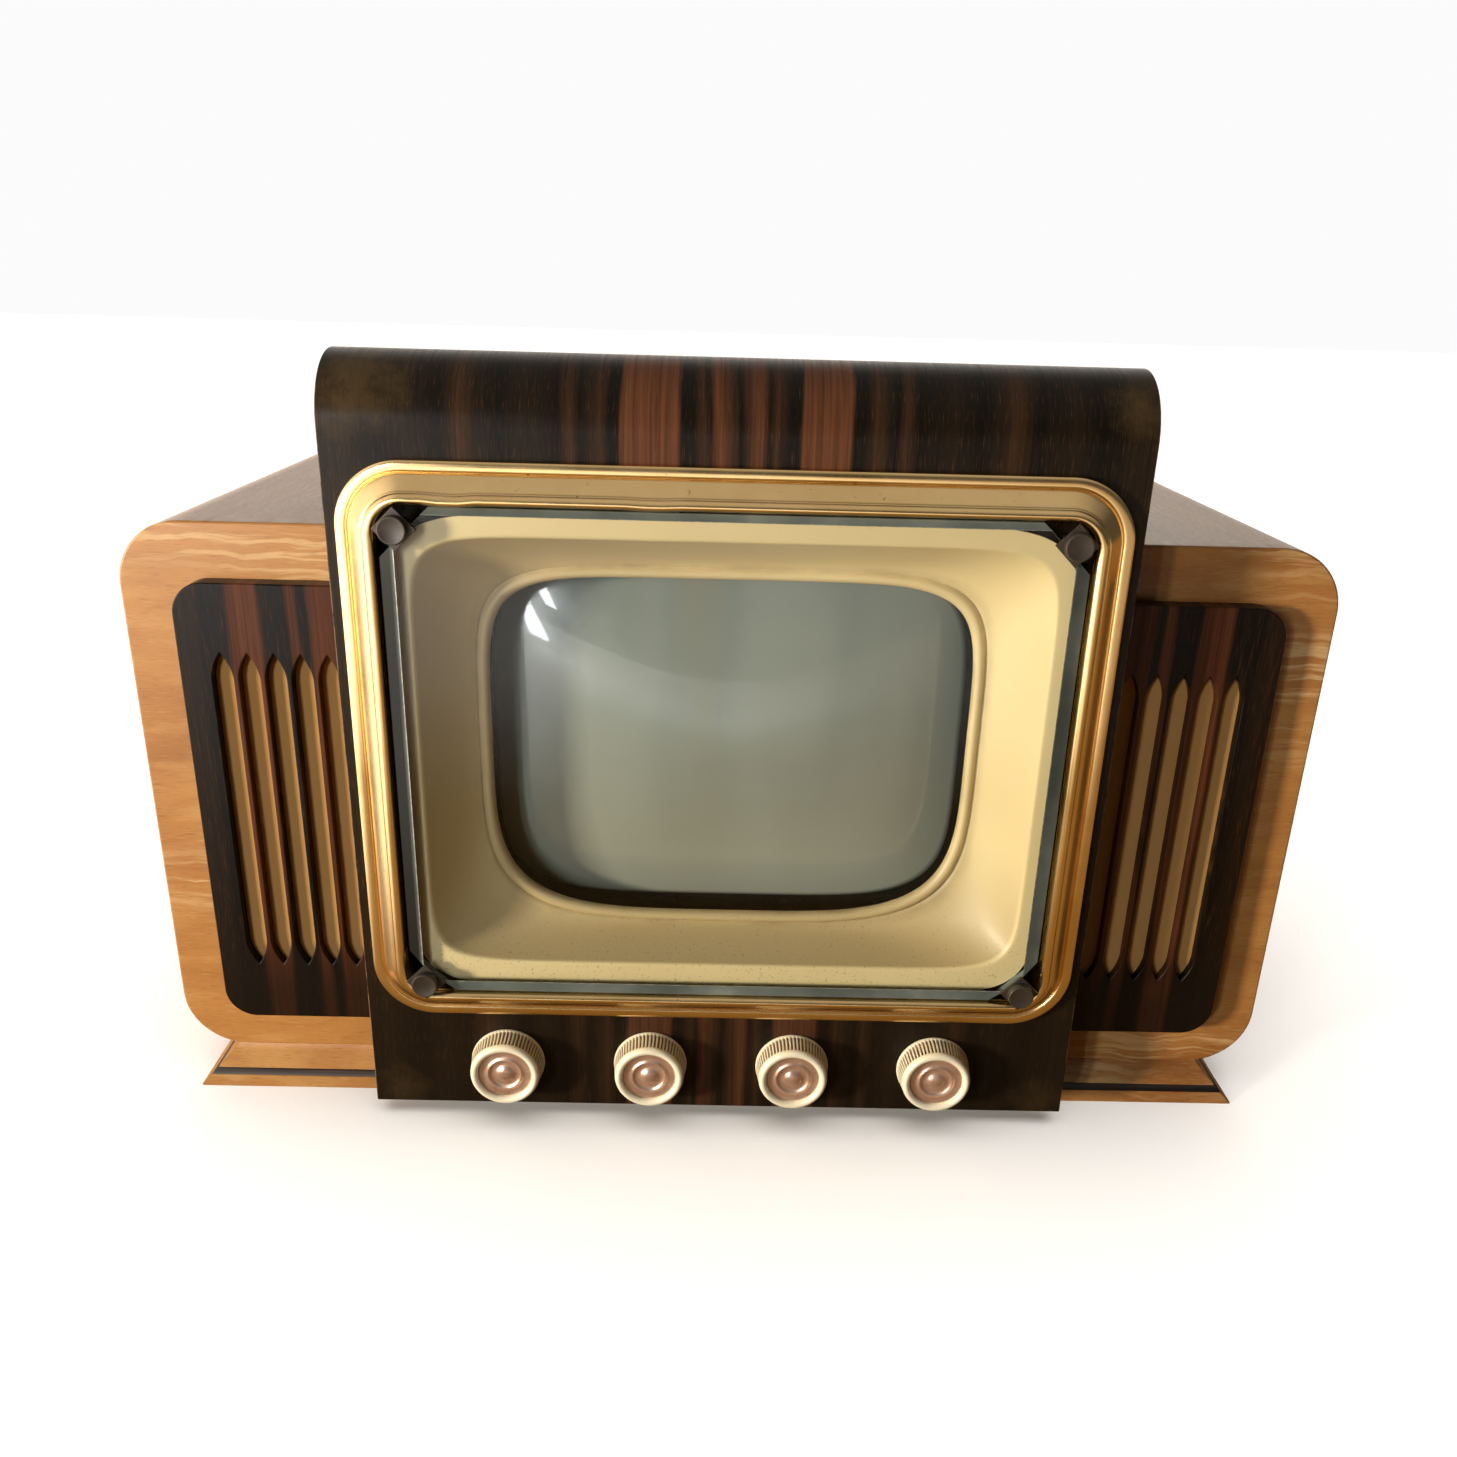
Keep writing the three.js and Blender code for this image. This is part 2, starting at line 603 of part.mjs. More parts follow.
// A moulded surround: a flat flange, a hollow slope and a rolled lip round the tube's face.
function screenMask() {
  const depth = 31;
  const between = (low, high, share) => low + (high - low) * share;
  const at = (share, sink) => [
    MASK_OPENING_SIZE.map((size, i) => between(size, MASK_LINE_SIZE[i], share)),
    between(MASK_OPENING_SQUARENESS, MASK_LINE_SQUARENESS, share),
    MASK_Y + depth * sink,
  ];
  // share is how much of the way out the slope still has, sink how deep it is there
  const slope = [[1, 0], [0.72, 0.36], [0.42, 0.68], [0.18, 0.9], [0, 1]].map(
    ([share, sink]) => at(share, sink),
  );
  const offset = ([half, power, y]) => [half.map((size) => size + MASK_THICK), power, y + MASK_THICK];
  const front = [[MASK_FLANGE_SIZE, SCREEN_SQUARENESS, MASK_Y], ...slope];
  const back = slope.map(offset).reverse();
  back.push([MASK_FLANGE_SIZE, SCREEN_SQUARENESS, MASK_Y + MASK_THICK]);
  const loops = [...front, ...back].map(([half, power, y]) => screenLoop(half, power, y));
  place('screen_mask', loft(loops, { ring: true }), CREAM);
}

function glassStuds() {
  const headBack = GLASS_Y - CLEARANCE;
  const headFront = headBack - STUD_HEAD_DEPTH;
  for (const [corner, x, z] of studPlaces) {
    const profile = [
      [0, headFront], [STUD_HEAD - 0.8, headFront], [STUD_HEAD, headFront + 0.8],
      [STUD_HEAD, headBack], [STUD_SHANK, headBack], [STUD_SHANK, HOOD_Y + 10], [0, HOOD_Y + 10],
    ];
    place(`glass_stud_${corner}`, turnedAlongY(profile, x, z, 16), NICKEL);
  }
}

// ---------------------------------------------------------------- picture tube

// The bulb's outer form: y, half width, half height and squareness, from the face to the neck.
const BULB = [
  [TUBE_FACE_Y + 30, 161, 123, 5.5],
  [TUBE_FACE_Y + 50, 160, 122, 5.2],
  [TUBE_FACE_Y + 105, 133, 106, 3.6],
  [TUBE_FACE_Y + 175, 90, 78, 2.5],
  [TUBE_FACE_Y + 235, 48, 46, 2],
  [TUBE_FACE_Y + 262, 26, 26, 2],
  [TUBE_FACE_Y + 282, NECK_RADIUS, NECK_RADIUS, 2],
  [TUBE_END_Y, NECK_RADIUS, NECK_RADIUS, 2],
];
const FACE_RADIUS = 560;
const BULB_POINTS = 24; // points in each loop of the bulb

function faceSag(share, [halfWidth, halfHeight]) {
  const reach = share * Math.hypot(halfWidth, halfHeight) * 0.86;
  return FACE_RADIUS - Math.sqrt(FACE_RADIUS * FACE_RADIUS - reach * reach);
}

// The bulb is a shell, open at the end of its neck, where the base closes it.
function pictureTube() {
  const shares = [0.03, 0.3, 0.6, 0.85, 0.97];
  const face = (half, startY) => shares.map((share) => {
    const size = half.map((value) => value * share);
    return screenLoop(size, 2.4 + 3 * share, startY + faceSag(share, half), BULB_POINTS);
  });
  const outer = BULB.map(([y, x, z, power]) => screenLoop([x, z], power, y, BULB_POINTS));
  const inside = BULB.map(([y, x, z, power]) => {
    const wall = Math.min(BULB_WALL, x * 0.14);
    return screenLoop([x - wall, z - wall], power, y, BULB_POINTS);
  });
  const innerHalf = TUBE_HALF.map((size) => size - BULB_WALL);
  const loops = [
    ...face(TUBE_HALF, TUBE_FACE_Y),
    ...outer,
    ...inside.reverse(),
    ...face(innerHalf, TUBE_FACE_Y + 9).reverse(),
  ];
  place('picture_tube', loft(loops), PHOSPHOR);
}

function tubeFittings() {
  const strap = (grow, y) => screenLoop([161.5 + grow, 123.5 + grow], 5.4, y, BULB_POINTS);
  const [near, far] = [TUBE_FACE_Y + 34, TUBE_FACE_Y + 48];
  const hoop = loft(
    [strap(0.2, near), strap(2.4, near), strap(2.4, far), strap(0.2, far)], { ring: true },
  );
  place('tube_strap', hoop, STEEL);

  const yokeY = TUBE_FACE_Y + 240;
  const yoke = [
    [48, yokeY], [62, yokeY], [64, yokeY + 6], [58, yokeY + 14], [54, yokeY + 40],
    [46, yokeY + 56], [21, yokeY + 56], [21, yokeY + 40], [29, yokeY + 22], [48, yokeY],
  ];
  place('deflection_yoke', turnedAlongY(yoke, 0, SCREEN_Z, 20), COPPER);

  const magnetY = TUBE_FACE_Y + 318;
  const magnet = [
    [21, magnetY], [44, magnetY], [47, magnetY + 3], [47, magnetY + 21], [44, magnetY + 24],
    [21, magnetY + 24], [21, magnetY],
  ];
  place('focus_magnet', turnedAlongY(magnet, 0, SCREEN_Z, 20), FERRITE);

  const capY = TUBE_END_Y - 13;
  const base = [
    [0, TUBE_END_Y + CLEARANCE], [NECK_RADIUS + CLEARANCE, TUBE_END_Y + CLEARANCE],
    [NECK_RADIUS + CLEARANCE, capY], [21, capY], [21, TUBE_END_Y + 16], [0, TUBE_END_Y + 16],
  ];
  place('tube_base', turnedAlongY(base, 0, SCREEN_Z, 20), BAKELITE);
}

// ---------------------------------------------------------------- chassis

const CHASSIS_X = 300;
const CHASSIS_FRONT_Y = -95;
const CHASSIS_BACK_Y = 180;
const CHASSIS_TOP = 80;
const CHASSIS_FLOOR = CABINET_BOTTOM + BOARD + CLEARANCE;
const DECK = CHASSIS_TOP + CLEARANCE;
const PRESET_Z = 58;
const PRESETS = [['height', -30], ['hold', 30]];

function chassis() {
  const sheet = 2;
  const pan = block(
    [-CHASSIS_X, CHASSIS_X], [CHASSIS_FRONT_Y, CHASSIS_BACK_Y], [CHASSIS_FLOOR, CHASSIS_TOP],
  );
  const hollow = block(
    [-CHASSIS_X + sheet, CHASSIS_X - sheet],
    [CHASSIS_FRONT_Y + sheet, CHASSIS_BACK_Y - sheet],
    [CHASSIS_FLOOR - 5, CHASSIS_TOP - sheet],
  );
  const rearSkirt = [CHASSIS_BACK_Y - 6, CHASSIS_BACK_Y + 4];
  const holes = PRESETS.map(([, x]) => rod(4, rearSkirt, x, PRESET_Z, 12));
  place('chassis_pan', cut(pan, hollow, ...holes), STEEL);

  const coreX = [-292, -208];
  const core = block(coreX, [62, 138], [DECK, DECK + 72]);
  const winding = block([coreX[0] + 14, coreX[1] - 14], [50, 150], [DECK + 12, DECK + 60]);
  place('mains_transformer', join(core, winding), FERRITE);

  const cage = block([175, 290], [50, 165], [DECK, DECK + 118]);
  const cageHollow = block([177, 288], [52, 163], [DECK - 5, DECK + 116]);
  const sideVents = Array.from({ length: 6 }, (_, i) => (
    block([170, 295], [62 + 16 * i, 70 + 16 * i], [DECK + 20, DECK + 96])
  ));
  place('line_output_cage', cut(cage, cageHollow, ...sideVents), STEEL);

  const valvePlaces = [[-130, -50], [130, -50], [-130, 40]];
  valvePlaces.forEach(([x, y], index) => {
    const profile = [
      [0, DECK], [10.5, DECK], [11, DECK + 3], [11, DECK + 48], [8, DECK + 56],
      [2.5, DECK + 60], [2, DECK + 65], [0, DECK + 66],
    ];
    place(`valve_${index + 1}`, turnedUpright(profile, x, y), GLASS);
  });

  const canTop = DECK + 76;
  const can = [[0, DECK], [17.5, DECK], [17.5, canTop - 1.5], [16, canTop], [0, canTop]];
  place('smoothing_capacitor', turnedUpright(can, 125, 90), CAN);
}

function loudspeaker(side) {
  const hand = side < 0 ? 'left' : 'right';
  const x = side * SLOTS_MIDDLE_X;
  const rimY = BAND_Y + BOARD + CLEARANCE;
  const frame = [
    [0, rimY + 66], [30, rimY + 66], [32, rimY + 62], [32, rimY + 44], [40, rimY + 42],
    [62, rimY + 6], [65, rimY + 5], [65, rimY], [57.5, rimY], [57.5, rimY + 5],
    [35, rimY + 40], [12, rimY + 40], [12, rimY + 34], [0, rimY + 34],
  ];
  place(`loudspeaker_${hand}`, turnedAlongY(frame, x, SPEAKER_Z, 20), FERRITE);
  const cone = [
    [0, rimY + 24], [14, rimY + 27.5], [50, rimY + 5], [53, rimY + 2.6], [56, rimY + 3],
    [56, rimY + 4], [53, rimY + 4.4], [15, rimY + 29.5], [0, rimY + 26],
  ];
  place(`speaker_cone_${hand}`, turnedAlongY(cone, x, SPEAKER_Z, 20), PAPER);
}

// ---------------------------------------------------------------- front controls

// A knob's back clears the fascia by a little, so that it can turn.
function frontControl(name, index) {
  const x = controlX(index);
  const backY = HOOD_Y - 0.6;
  const frontY = HOOD_Y - KNOB_DEPTH;
  const recessY = frontY + 2.6;
  const bore = SPINDLE_RADIUS + CLEARANCE;
  const ring = [
    [bore, backY], [KNOB_BASE_RADIUS, backY], [KNOB_BASE_RADIUS, backY - 1.6],
    [KNOB_RIM_RADIUS + 0.6, frontY + 2], [KNOB_RIM_RADIUS - 0.8, frontY],
    [INSERT_RADIUS + 1.6, frontY], [INSERT_RADIUS + CLEARANCE, recessY - 1],
    [INSERT_RADIUS + CLEARANCE, recessY + 1.5], [bore, recessY + 1.5], [bore, backY],
  ];
  place(`knob_ring_${name}`, turnedAlongY(ring, x, CONTROL_Z), IVORY);
  const plateY = recessY + 1.5 - CLEARANCE;
  const insert = [
    [0, frontY + 0.6], [3.6, frontY + 1.2], [6.2, frontY + 2.8], [8, frontY + 3],
    [9.5, frontY + 1.6], [11, frontY + 3], [INSERT_RADIUS, frontY + 2.4],
    [INSERT_RADIUS, plateY], [0, plateY],
  ];
  place(`knob_insert_${name}`, turnedAlongY(insert, x, CONTROL_Z, 20), ROSE);
  const spindle = rod(SPINDLE_RADIUS, [recessY + 1.5 + CLEARANCE, HOOD_Y + 22], x, CONTROL_Z, 12);
  place(`spindle_${name}`, spindle, STEEL);
}

// A potentiometer, or the channel selector's wafer switch, with its bush through the fascia.
function controlUnit(name, index, radius, depth) {
  const back = HOOD_Y + BOARD + CLEARANCE;
  const bore = SPINDLE_RADIUS + 0.4;
  const profile = [
    [bore, HOOD_Y + 0.5], [BUSH_RADIUS, HOOD_Y + 0.5], [BUSH_RADIUS, back], [radius, back],
    [radius, back + depth], [bore, back + depth], [bore, HOOD_Y + 0.5],
  ];
  place(name, turnedAlongY(profile, controlX(index), CONTROL_Z, 16), CAN);
}

// ---------------------------------------------------------------- back

const INLET_X = -220;
const AERIAL_X = 220;
const SOCKET_Z = 78;

function backCover() {
  const half = CABINET_WIDTH / 2 - CLEARANCE;
  const outline = roundedRectangle(
    new THREE.Shape(),
    [-half, half],
    [CABINET_BOTTOM + CLEARANCE, CABINET_TOP - CLEARANCE],
    CABINET_CORNER - CLEARANCE,
  );
  const through = [COVER_Y - 5, COVER_Y + COVER_THICK + 5];
  const cutters = [
    rod(52, through, 0, SCREEN_Z, 24),
    rod(8.5, through, AERIAL_X, SOCKET_Z),
    block([INLET_X - 20, INLET_X + 20], through, [SOCKET_Z - 13, SOCKET_Z + 13]),
    ...PRESETS.map(([, x]) => rod(4.5, through, x, PRESET_Z)),
  ];
  for (let row = 0; row < 4; row += 1) {
    for (let column = 0; column < 3; column += 1) {
      for (const side of [-1, 1]) {
        const [x, z] = [side * (130 + 70 * column), 300 - 22 * row];
        cutters.push(block([x - 28, x + 28], through, [z - 3, z + 3]));
      }
    }
  }
  place('back_cover', cut(frontBoard(outline, COVER_Y, COVER_THICK), ...cutters), FIBRE);

  const seatY = COVER_Y + COVER_THICK + CLEARANCE;
  const cup = [
    [0, CUP_END_Y], [44, CUP_END_Y], [50, CUP_END_Y - 5], [55, seatY + 2], [75, seatY + 2],
    [75, seatY], [53, seatY], [48, CUP_END_Y - 6], [43, CUP_END_Y - 2], [0, CUP_END_Y - 2],
  ];
  place('neck_cup', turnedAlongY(cup, 0, SCREEN_Z), FIBRE);
}

function backSockets() {
  const seatY = COVER_Y + COVER_THICK + CLEARANCE;
  const inletBox = join(
    block([INLET_X - 26, INLET_X + 26], [seatY, seatY + 3], [SOCKET_Z - 18, SOCKET_Z + 18]),
    block([INLET_X - 19, INLET_X + 19], [seatY - 22, seatY + 1], [SOCKET_Z - 12, SOCKET_Z + 12]),
  );
  const well = block(
    [INLET_X - 16, INLET_X + 16], [seatY - 18, seatY + 6], [SOCKET_Z - 9, SOCKET_Z + 9],
  );
  const pins = [-9.5, 9.5].map((x) => rod(2, [seatY - 20, seatY - 2], INLET_X + x, SOCKET_Z, 12));
  place('mains_inlet', join(cut(inletBox, well), ...pins), BAKELITE);

  const socket = [
    [0, seatY - 16], [8, seatY - 16], [8, seatY], [13, seatY], [13, seatY + 3], [7, seatY + 3],
    [7, seatY + 9], [5, seatY + 9], [5, seatY - 12], [0, seatY - 12],
  ];
  place('aerial_socket', turnedAlongY(socket, AERIAL_X, SOCKET_Z, 16), CAN);

  for (const [name, x] of PRESETS) {
    const knob = [
      [0, CHASSIS_BACK_Y - 8], [3, CHASSIS_BACK_Y - 8], [3, seatY + 0.6], [9, seatY + 0.6],
      [8.4, seatY + 11], [7.6, seatY + 12], [0, seatY + 12],
    ];
    place(`preset_knob_${name}`, turnedAlongY(knob, x, PRESET_Z, 16), BAKELITE);
  }
}

// ---------------------------------------------------------------- assembly

cabinetShell();
frontBaffle();
[-1, 1].forEach(grille);
fasciaHood();
[-1, 1].forEach(hoodCheek);
plinth();
plinthInlay();
bezel();
safetyGlass();
screenMask();
glassStuds();
pictureTube();
tubeFittings();
chassis();
[-1, 1].forEach(loudspeaker);
CONTROLS.forEach(frontControl);
controlUnit('volume_pot', 0, 12.5, 13);
controlUnit('brightness_pot', 1, 12.5, 13);
controlUnit('contrast_pot', 2, 12.5, 13);
controlUnit('channel_switch', 3, 18, 17);
backCover();
backSockets();

export default television;
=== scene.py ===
"""Looks for a table-model tube television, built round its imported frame.

Metres. X runs to the viewer's right, Y to the back of the set and Z up.
"""

import math
import random

import bmesh
import bpy
from mathutils import Matrix, Vector, noise
from mathutils.geometry import tessellate_polygon

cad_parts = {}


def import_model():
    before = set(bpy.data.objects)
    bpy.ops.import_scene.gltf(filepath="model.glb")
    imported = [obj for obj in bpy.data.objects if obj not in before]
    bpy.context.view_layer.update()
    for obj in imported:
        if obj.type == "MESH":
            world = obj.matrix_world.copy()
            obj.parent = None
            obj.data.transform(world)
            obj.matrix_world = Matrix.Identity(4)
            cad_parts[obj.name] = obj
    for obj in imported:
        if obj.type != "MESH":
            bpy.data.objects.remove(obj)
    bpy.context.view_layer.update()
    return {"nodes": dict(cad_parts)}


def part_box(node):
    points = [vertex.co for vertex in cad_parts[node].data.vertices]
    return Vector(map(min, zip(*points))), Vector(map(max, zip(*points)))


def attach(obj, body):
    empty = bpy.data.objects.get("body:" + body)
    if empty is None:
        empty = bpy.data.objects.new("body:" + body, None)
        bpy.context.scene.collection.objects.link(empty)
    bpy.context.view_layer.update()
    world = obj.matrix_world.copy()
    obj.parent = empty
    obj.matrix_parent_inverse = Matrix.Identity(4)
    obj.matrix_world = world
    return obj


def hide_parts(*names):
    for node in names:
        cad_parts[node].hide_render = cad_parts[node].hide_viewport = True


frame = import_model()

MM = 0.001
CONTROLS = ("volume", "brightness", "contrast", "channel")
CORNERS = ("top_left", "top_right", "bottom_left", "bottom_right")
HANDS = ("left", "right")

# ---- meshes


def placed(name, data):
    """A new object in the scene."""
    made = bpy.data.objects.new(name, data)
    bpy.context.scene.collection.objects.link(made)
    return made


def mesh_from(name, verts, faces):
    mesh = bpy.data.meshes.new(name)
    mesh.from_pydata([tuple(v) for v in verts], [], faces)
    return mesh


def piece(name, shape, materials, stands_for=None, body="cabinet", kinds=None, sharp=35):
    """A new object from its shape, which is vertices and faces, riding on a body. It takes its finishes'
    names from M and stands for a CAD node. kinds gives each face's finish by number."""
    mesh = mesh_from(name, *shape)
    for material in materials.split():
        mesh.materials.append(M[material])
    if kinds:
        mesh.polygons.foreach_set("material_index", kinds)
    clean(mesh, sharp)
    made = placed(name, mesh)
    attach(made, body)
    if stands_for:
        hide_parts(stands_for)
    return made


def clean(mesh, sharp):
    """Merges equal vertices, turns all faces outwards and smooths all but the sharp edges."""
    work = bmesh.new()
    work.from_mesh(mesh)
    bmesh.ops.remove_doubles(work, verts=work.verts, dist=1e-6)
    bmesh.ops.recalc_face_normals(work, faces=work.faces)
    work.to_mesh(mesh)
    work.free()
    mesh.shade_smooth()
    mesh.set_sharp_from_angle(angle=math.radians(sharp))


def even_normals(made, weight=100):
    """Keeps flat faces flat beside small rounded edges."""
    weighted = made.modifiers.new("even_normals", "WEIGHTED_NORMAL")
    weighted.keep_sharp = True
    weighted.weight = weight


def middle(name):
    """A node's middle at rest."""
    low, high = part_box(name)
    return (low + high) / 2


def strip(here, there, count):
    """Faces between two closed loops of a count of vertices, which start at here and there."""
    return [(here + i, here + (i + 1) % count, there + (i + 1) % count, there + i) for i in range(count)]


def loft(loops, ring=False):
    """Vertices and faces of a skin through loops of one length. A ring joins its last loop to its first."""
    count, total = len(loops[0]), len(loops)
    verts = [point for loop in loops for point in loop]
    faces = []
    for k in range(total if ring else total - 1):
        faces += strip(k * count, (k + 1) % total * count, count)
    if not ring:
        faces += [tuple(range(count)), tuple(range(len(verts) - count, len(verts)))]
    return verts, faces


def superellipse(half_x, half_z, y, upper, lower, top=None, count=192):
    """A loop round the screen's centre. Its corners are squarer the higher its upper and lower powers are,
    and it may reach further up than down."""
    loop = []
    for i in range(count):
        angle = 2 * math.pi * i / count
        c, s = math.cos(angle), math.sin(angle)
        power = 2 / (upper if s > 0 else lower)
        x = half_x * math.copysign(abs(c) ** power, c)
        z = (top if top and s > 0 else half_z) * math.copysign(abs(s) ** power, s)
        loop.append(Vector((x, y, SCREEN.z + z)))
    return loop


def arc(u, v, radius, first, last, steps=16):
    """Points on an arc between two angles in degrees, as pairs."""
    turns = [math.radians(first + (last - first) * i / steps) for i in range(steps + 1)]
    return [(u + radius * math.cos(turn), v + radius * math.sin(turn)) for turn in turns]


def rounded(low_u, high_u, low_v, high_v, radius, steps=16):
    """A rounded rectangle, counter-clockwise, as pairs."""
    left, right, low, high = low_u + radius, high_u - radius, low_v + radius, high_v - radius
    loop = []
    for u, v, start in ((right, low, -90), (right, high, 0), (left, high, 90), (left, low, 180)):
        loop += arc(u, v, radius, start, start + 90, steps)
    return loop


def inset(loop, distance):
    """The same closed loop of pairs, each point moved to the left of its travel."""
    moved = []
    for i, (u, v) in enumerate(loop):
        before, after = loop[i - 1], loop[(i + 1) % len(loop)]
        come = Vector((u - before[0], v - before[1])).normalized()
        go = Vector((after[0] - u, after[1] - v)).normalized()
        mean = (come + go).normalized()
        reach = distance / max(0.5, mean.dot(come))
        moved.append((u - mean.y * reach, v + mean.x * reach))
    return moved


def eased(near, far, depth, steps=3):
    """Stations through a board's thickness as pairs of inset and depth, with both edges rounded."""
    def quarter(radius):
        turns = [math.pi / 2 * k / steps for k in range(steps + 1)]
        return [(radius * (1 - math.sin(a)), radius * (1 - math.cos(a))) for a in turns]
    front = quarter(near) if near else [(0, 0)]
    back = quarter(far) if far else [(0, 0)]
    return front + [(inward, depth - along) for inward, along in reversed(back)]


def board(loops, point, stations):
    """Vertices and faces of a board. The first loop is its outline, the others are holes, clockwise."""
    verts, faces, starts = [], [], []
    for loop in loops:
        start, count = len(verts), len(loop)
        starts.append(start)
        for inward, along in stations:
            verts += [point(u, v, along) for u, v in inset(loop, inward)]
        for s in range(len(stations) - 1):
            faces += strip(start + s * count, start + (s + 1) * count, count)
    for station in (0, len(stations) - 1):
        inward = stations[station][0]
        outlines = [[Vector((u, v, 0)) for u, v in inset(loop, inward)] for loop in loops]
        numbers = [
            starts[k] + station * len(loop) + i for k, loop in enumerate(loops) for i in range(len(loop))
        ]
        faces += [tuple(numbers[i] for i in corner) for corner in tessellate_polygon(outlines)]
    return verts, faces


def turned(profile, centre, segments=64, side=None):
    """Vertices and faces of a turned piece: pairs of radius and place along Y, about a centre's X and Z.
    side may change the radius: it gets the radius, the place and the angle."""
    loops = []
    for radius, along in profile:
        loop = []
        for i in range(segments):
            angle = 2 * math.pi * i / segments
            reach = side(radius, along, angle) if side else radius
            across, up = reach * math.cos(angle), reach * math.sin(angle)
            loop.append(Vector((centre.x + across, along, centre.z + up)))
        loops.append(loop)
    return loft(loops)


def facing(start, side=1):
    """Places a board that faces the front: its outline in X and Z, its depth along Y."""
    return lambda u, v, along: Vector((side * u, start + along, v))


def box_mesh(low, high):
    """Vertices and faces of a plain block, for cutting."""
    xs, ys, zs = zip(low, high)
    verts = [Vector((x, y, z)) for x in xs for y in ys for z in zs]
    faces = [(0, 1, 3, 2), (4, 6, 7, 5), (0, 4, 5, 1), (2, 3, 7, 6), (0, 2, 6, 4), (1, 5, 7, 3)]
    return verts, faces


def cut_away(made, *tools):
    """Cuts the tools, each vertices and faces, out of a piece."""
    cutters = []
    for tool in tools:
        mesh = mesh_from("cutter", *tool)
        clean(mesh, 35)
        cutter = placed("cutter", mesh)
        cut = made.modifiers.new("cut", "BOOLEAN")
        cut.operation = "DIFFERENCE"
        cut.solver = "EXACT"
        cut.object = cutter
        cutters.append(cutter)
    bpy.context.view_layer.update()
    depsgraph = bpy.context.evaluated_depsgraph_get()
    mesh = bpy.data.meshes.new_from_object(made.evaluated_get(depsgraph))
    made.modifiers.clear()
    made.data = mesh
    clean(mesh, 35)
    for cutter in cutters:
        bpy.data.objects.remove(cutter)


# ---- materials


def tone(red, green, blue):
    """A shader colour from 0-255 values."""
    def linear(value):
        share = value / 255
        return share / 12.92 if share <= 0.04045 else ((share + 0.055) / 1.055) ** 2.4
    return (linear(red), linear(green), linear(blue), 1)


class Nodes:
    """Builds shader nodes with short calls. A value may be a number, a colour or a socket."""

    def __init__(self, tree, coordinates):
        self.tree = tree
        self.coordinates = tree.nodes.new("ShaderNodeTexCoord").outputs[coordinates]

    def feed(self, socket, value):
        if isinstance(value, bpy.types.NodeSocket):
            self.tree.links.new(value, socket)
        else:
            socket.default_value = value

    def new(self, kind, *inputs, **named):
        """A node with its first inputs fed, and those that are named."""
        node = self.tree.nodes.new("ShaderNode" + kind)
        for socket, value in zip(node.inputs, inputs):
            self.feed(socket, value)
        for key, value in named.items():
            self.feed(node.inputs[key], value)
        return node

    def math(self, operation, a, b=0.0):
        node = self.new("Math", a, b)
        node.operation = operation
        return node.outputs[0]

    def plus(self, a, b):
        return self.math("ADD", a, b)

    def minus(self, a, b):
        return self.math("SUBTRACT", a, b)

    def times(self, a, b):
        return self.math("MULTIPLY", a, b)

    def most(self, a, b):
        return self.math("MAXIMUM", a, b)

    def size(self, a):
        return self.math("ABSOLUTE", a)

    def sine(self, a, rate):
        return self.math("SINE", self.times(a, rate))

    def vector(self, operation, a, b):
        node = self.new("VectorMath", a, b)
        node.operation = operation
        return node.outputs

    def parts(self):
        return self.new("SeparateXYZ", self.coordinates).outputs

    def join(self, x, y, z):
        return self.new("CombineXYZ", x, y, z).outputs[0]

    def noise(self, scale, within=None, detail=3.0, roughness=0.5, distortion=0.0):
        """Noise of one scale, or of one for each axis."""
        scales = scale if isinstance(scale, tuple) else (scale, scale, scale)
        place = self.vector("MULTIPLY", self.coordinates if within is None else within, scales)[0]
        shape = {"Scale": 1.0, "Detail": detail, "Roughness": roughness, "Distortion": distortion}
        return self.new("TexNoise", place, **shape).outputs["Fac"]

    def ramp(self, share, stops):
        node = self.new("ValToRGB", share)
        points = node.color_ramp.elements
        while len(points) < len(stops):
            points.new(0.5)
        for point, (place, colour) in zip(points, stops):
            point.position = place
            point.color = colour if len(colour) == 4 else (*colour, 1)
        return node.outputs["Color"]

    def shades(self, share, *stops):
        """A ramp whose stops are a place and three values from 0 to 255."""
        return self.ramp(share, [(place, tone(*colour)) for place, *colour in stops])

    def span(self, value, low, high, to_low=0.0, to_high=1.0):
        return self.new("MapRange", value, low, high, to_low, to_high).outputs[0]

    def mix(self, share, a, b, blend="MIX"):
        node = self.new("Mix", share)
        node.data_type = "RGBA"
        node.blend_type = blend
        self.feed(node.inputs[6], a)
        self.feed(node.inputs[7], b)
        return node.outputs[2]

    def over(self, colour, share, red, green, blue):
        """A share of a tone laid over a colour."""
        return self.mix(share, colour, tone(red, green, blue))

    def away(self, x, y, z, radius):
        """1 at a point, falling to 0 at a radius round it."""
        distance = self.vector("DISTANCE", self.coordinates, (x, y, z))["Value"]
        return self.span(distance, 0, radius, 1, 0)


class Finish(Nodes):
    """One material's nodes."""

    def __init__(self, name, **principled):
        self.material = bpy.data.materials.new(name)
        self.material.use_nodes = True
        super().__init__(self.material.node_tree, "Object")
        self.shader = self.tree.nodes["Principled BSDF"]
        self.output = self.tree.nodes["Material Output"]
        self.paint(**principled)

    def paint(self, **inputs):
        for key, value in inputs.items():
            self.feed(self.shader.inputs[key.replace("_", " ").title().replace("Ior", "IOR")], value)
        return self.material

    def finish(self, colour, noise, smooth, rough):
        """The colour, and a roughness that follows a noise."""
        return self.paint(base_color=colour, roughness=self.span(noise, 0.3, 0.7, smooth, rough))

    def bump(self, height, strength=0.3, distance=0.0003):
        node = self.new("Bump", Strength=strength, Distance=distance, Height=height)
        self.feed(self.shader.inputs["Normal"], node.outputs["Normal"])


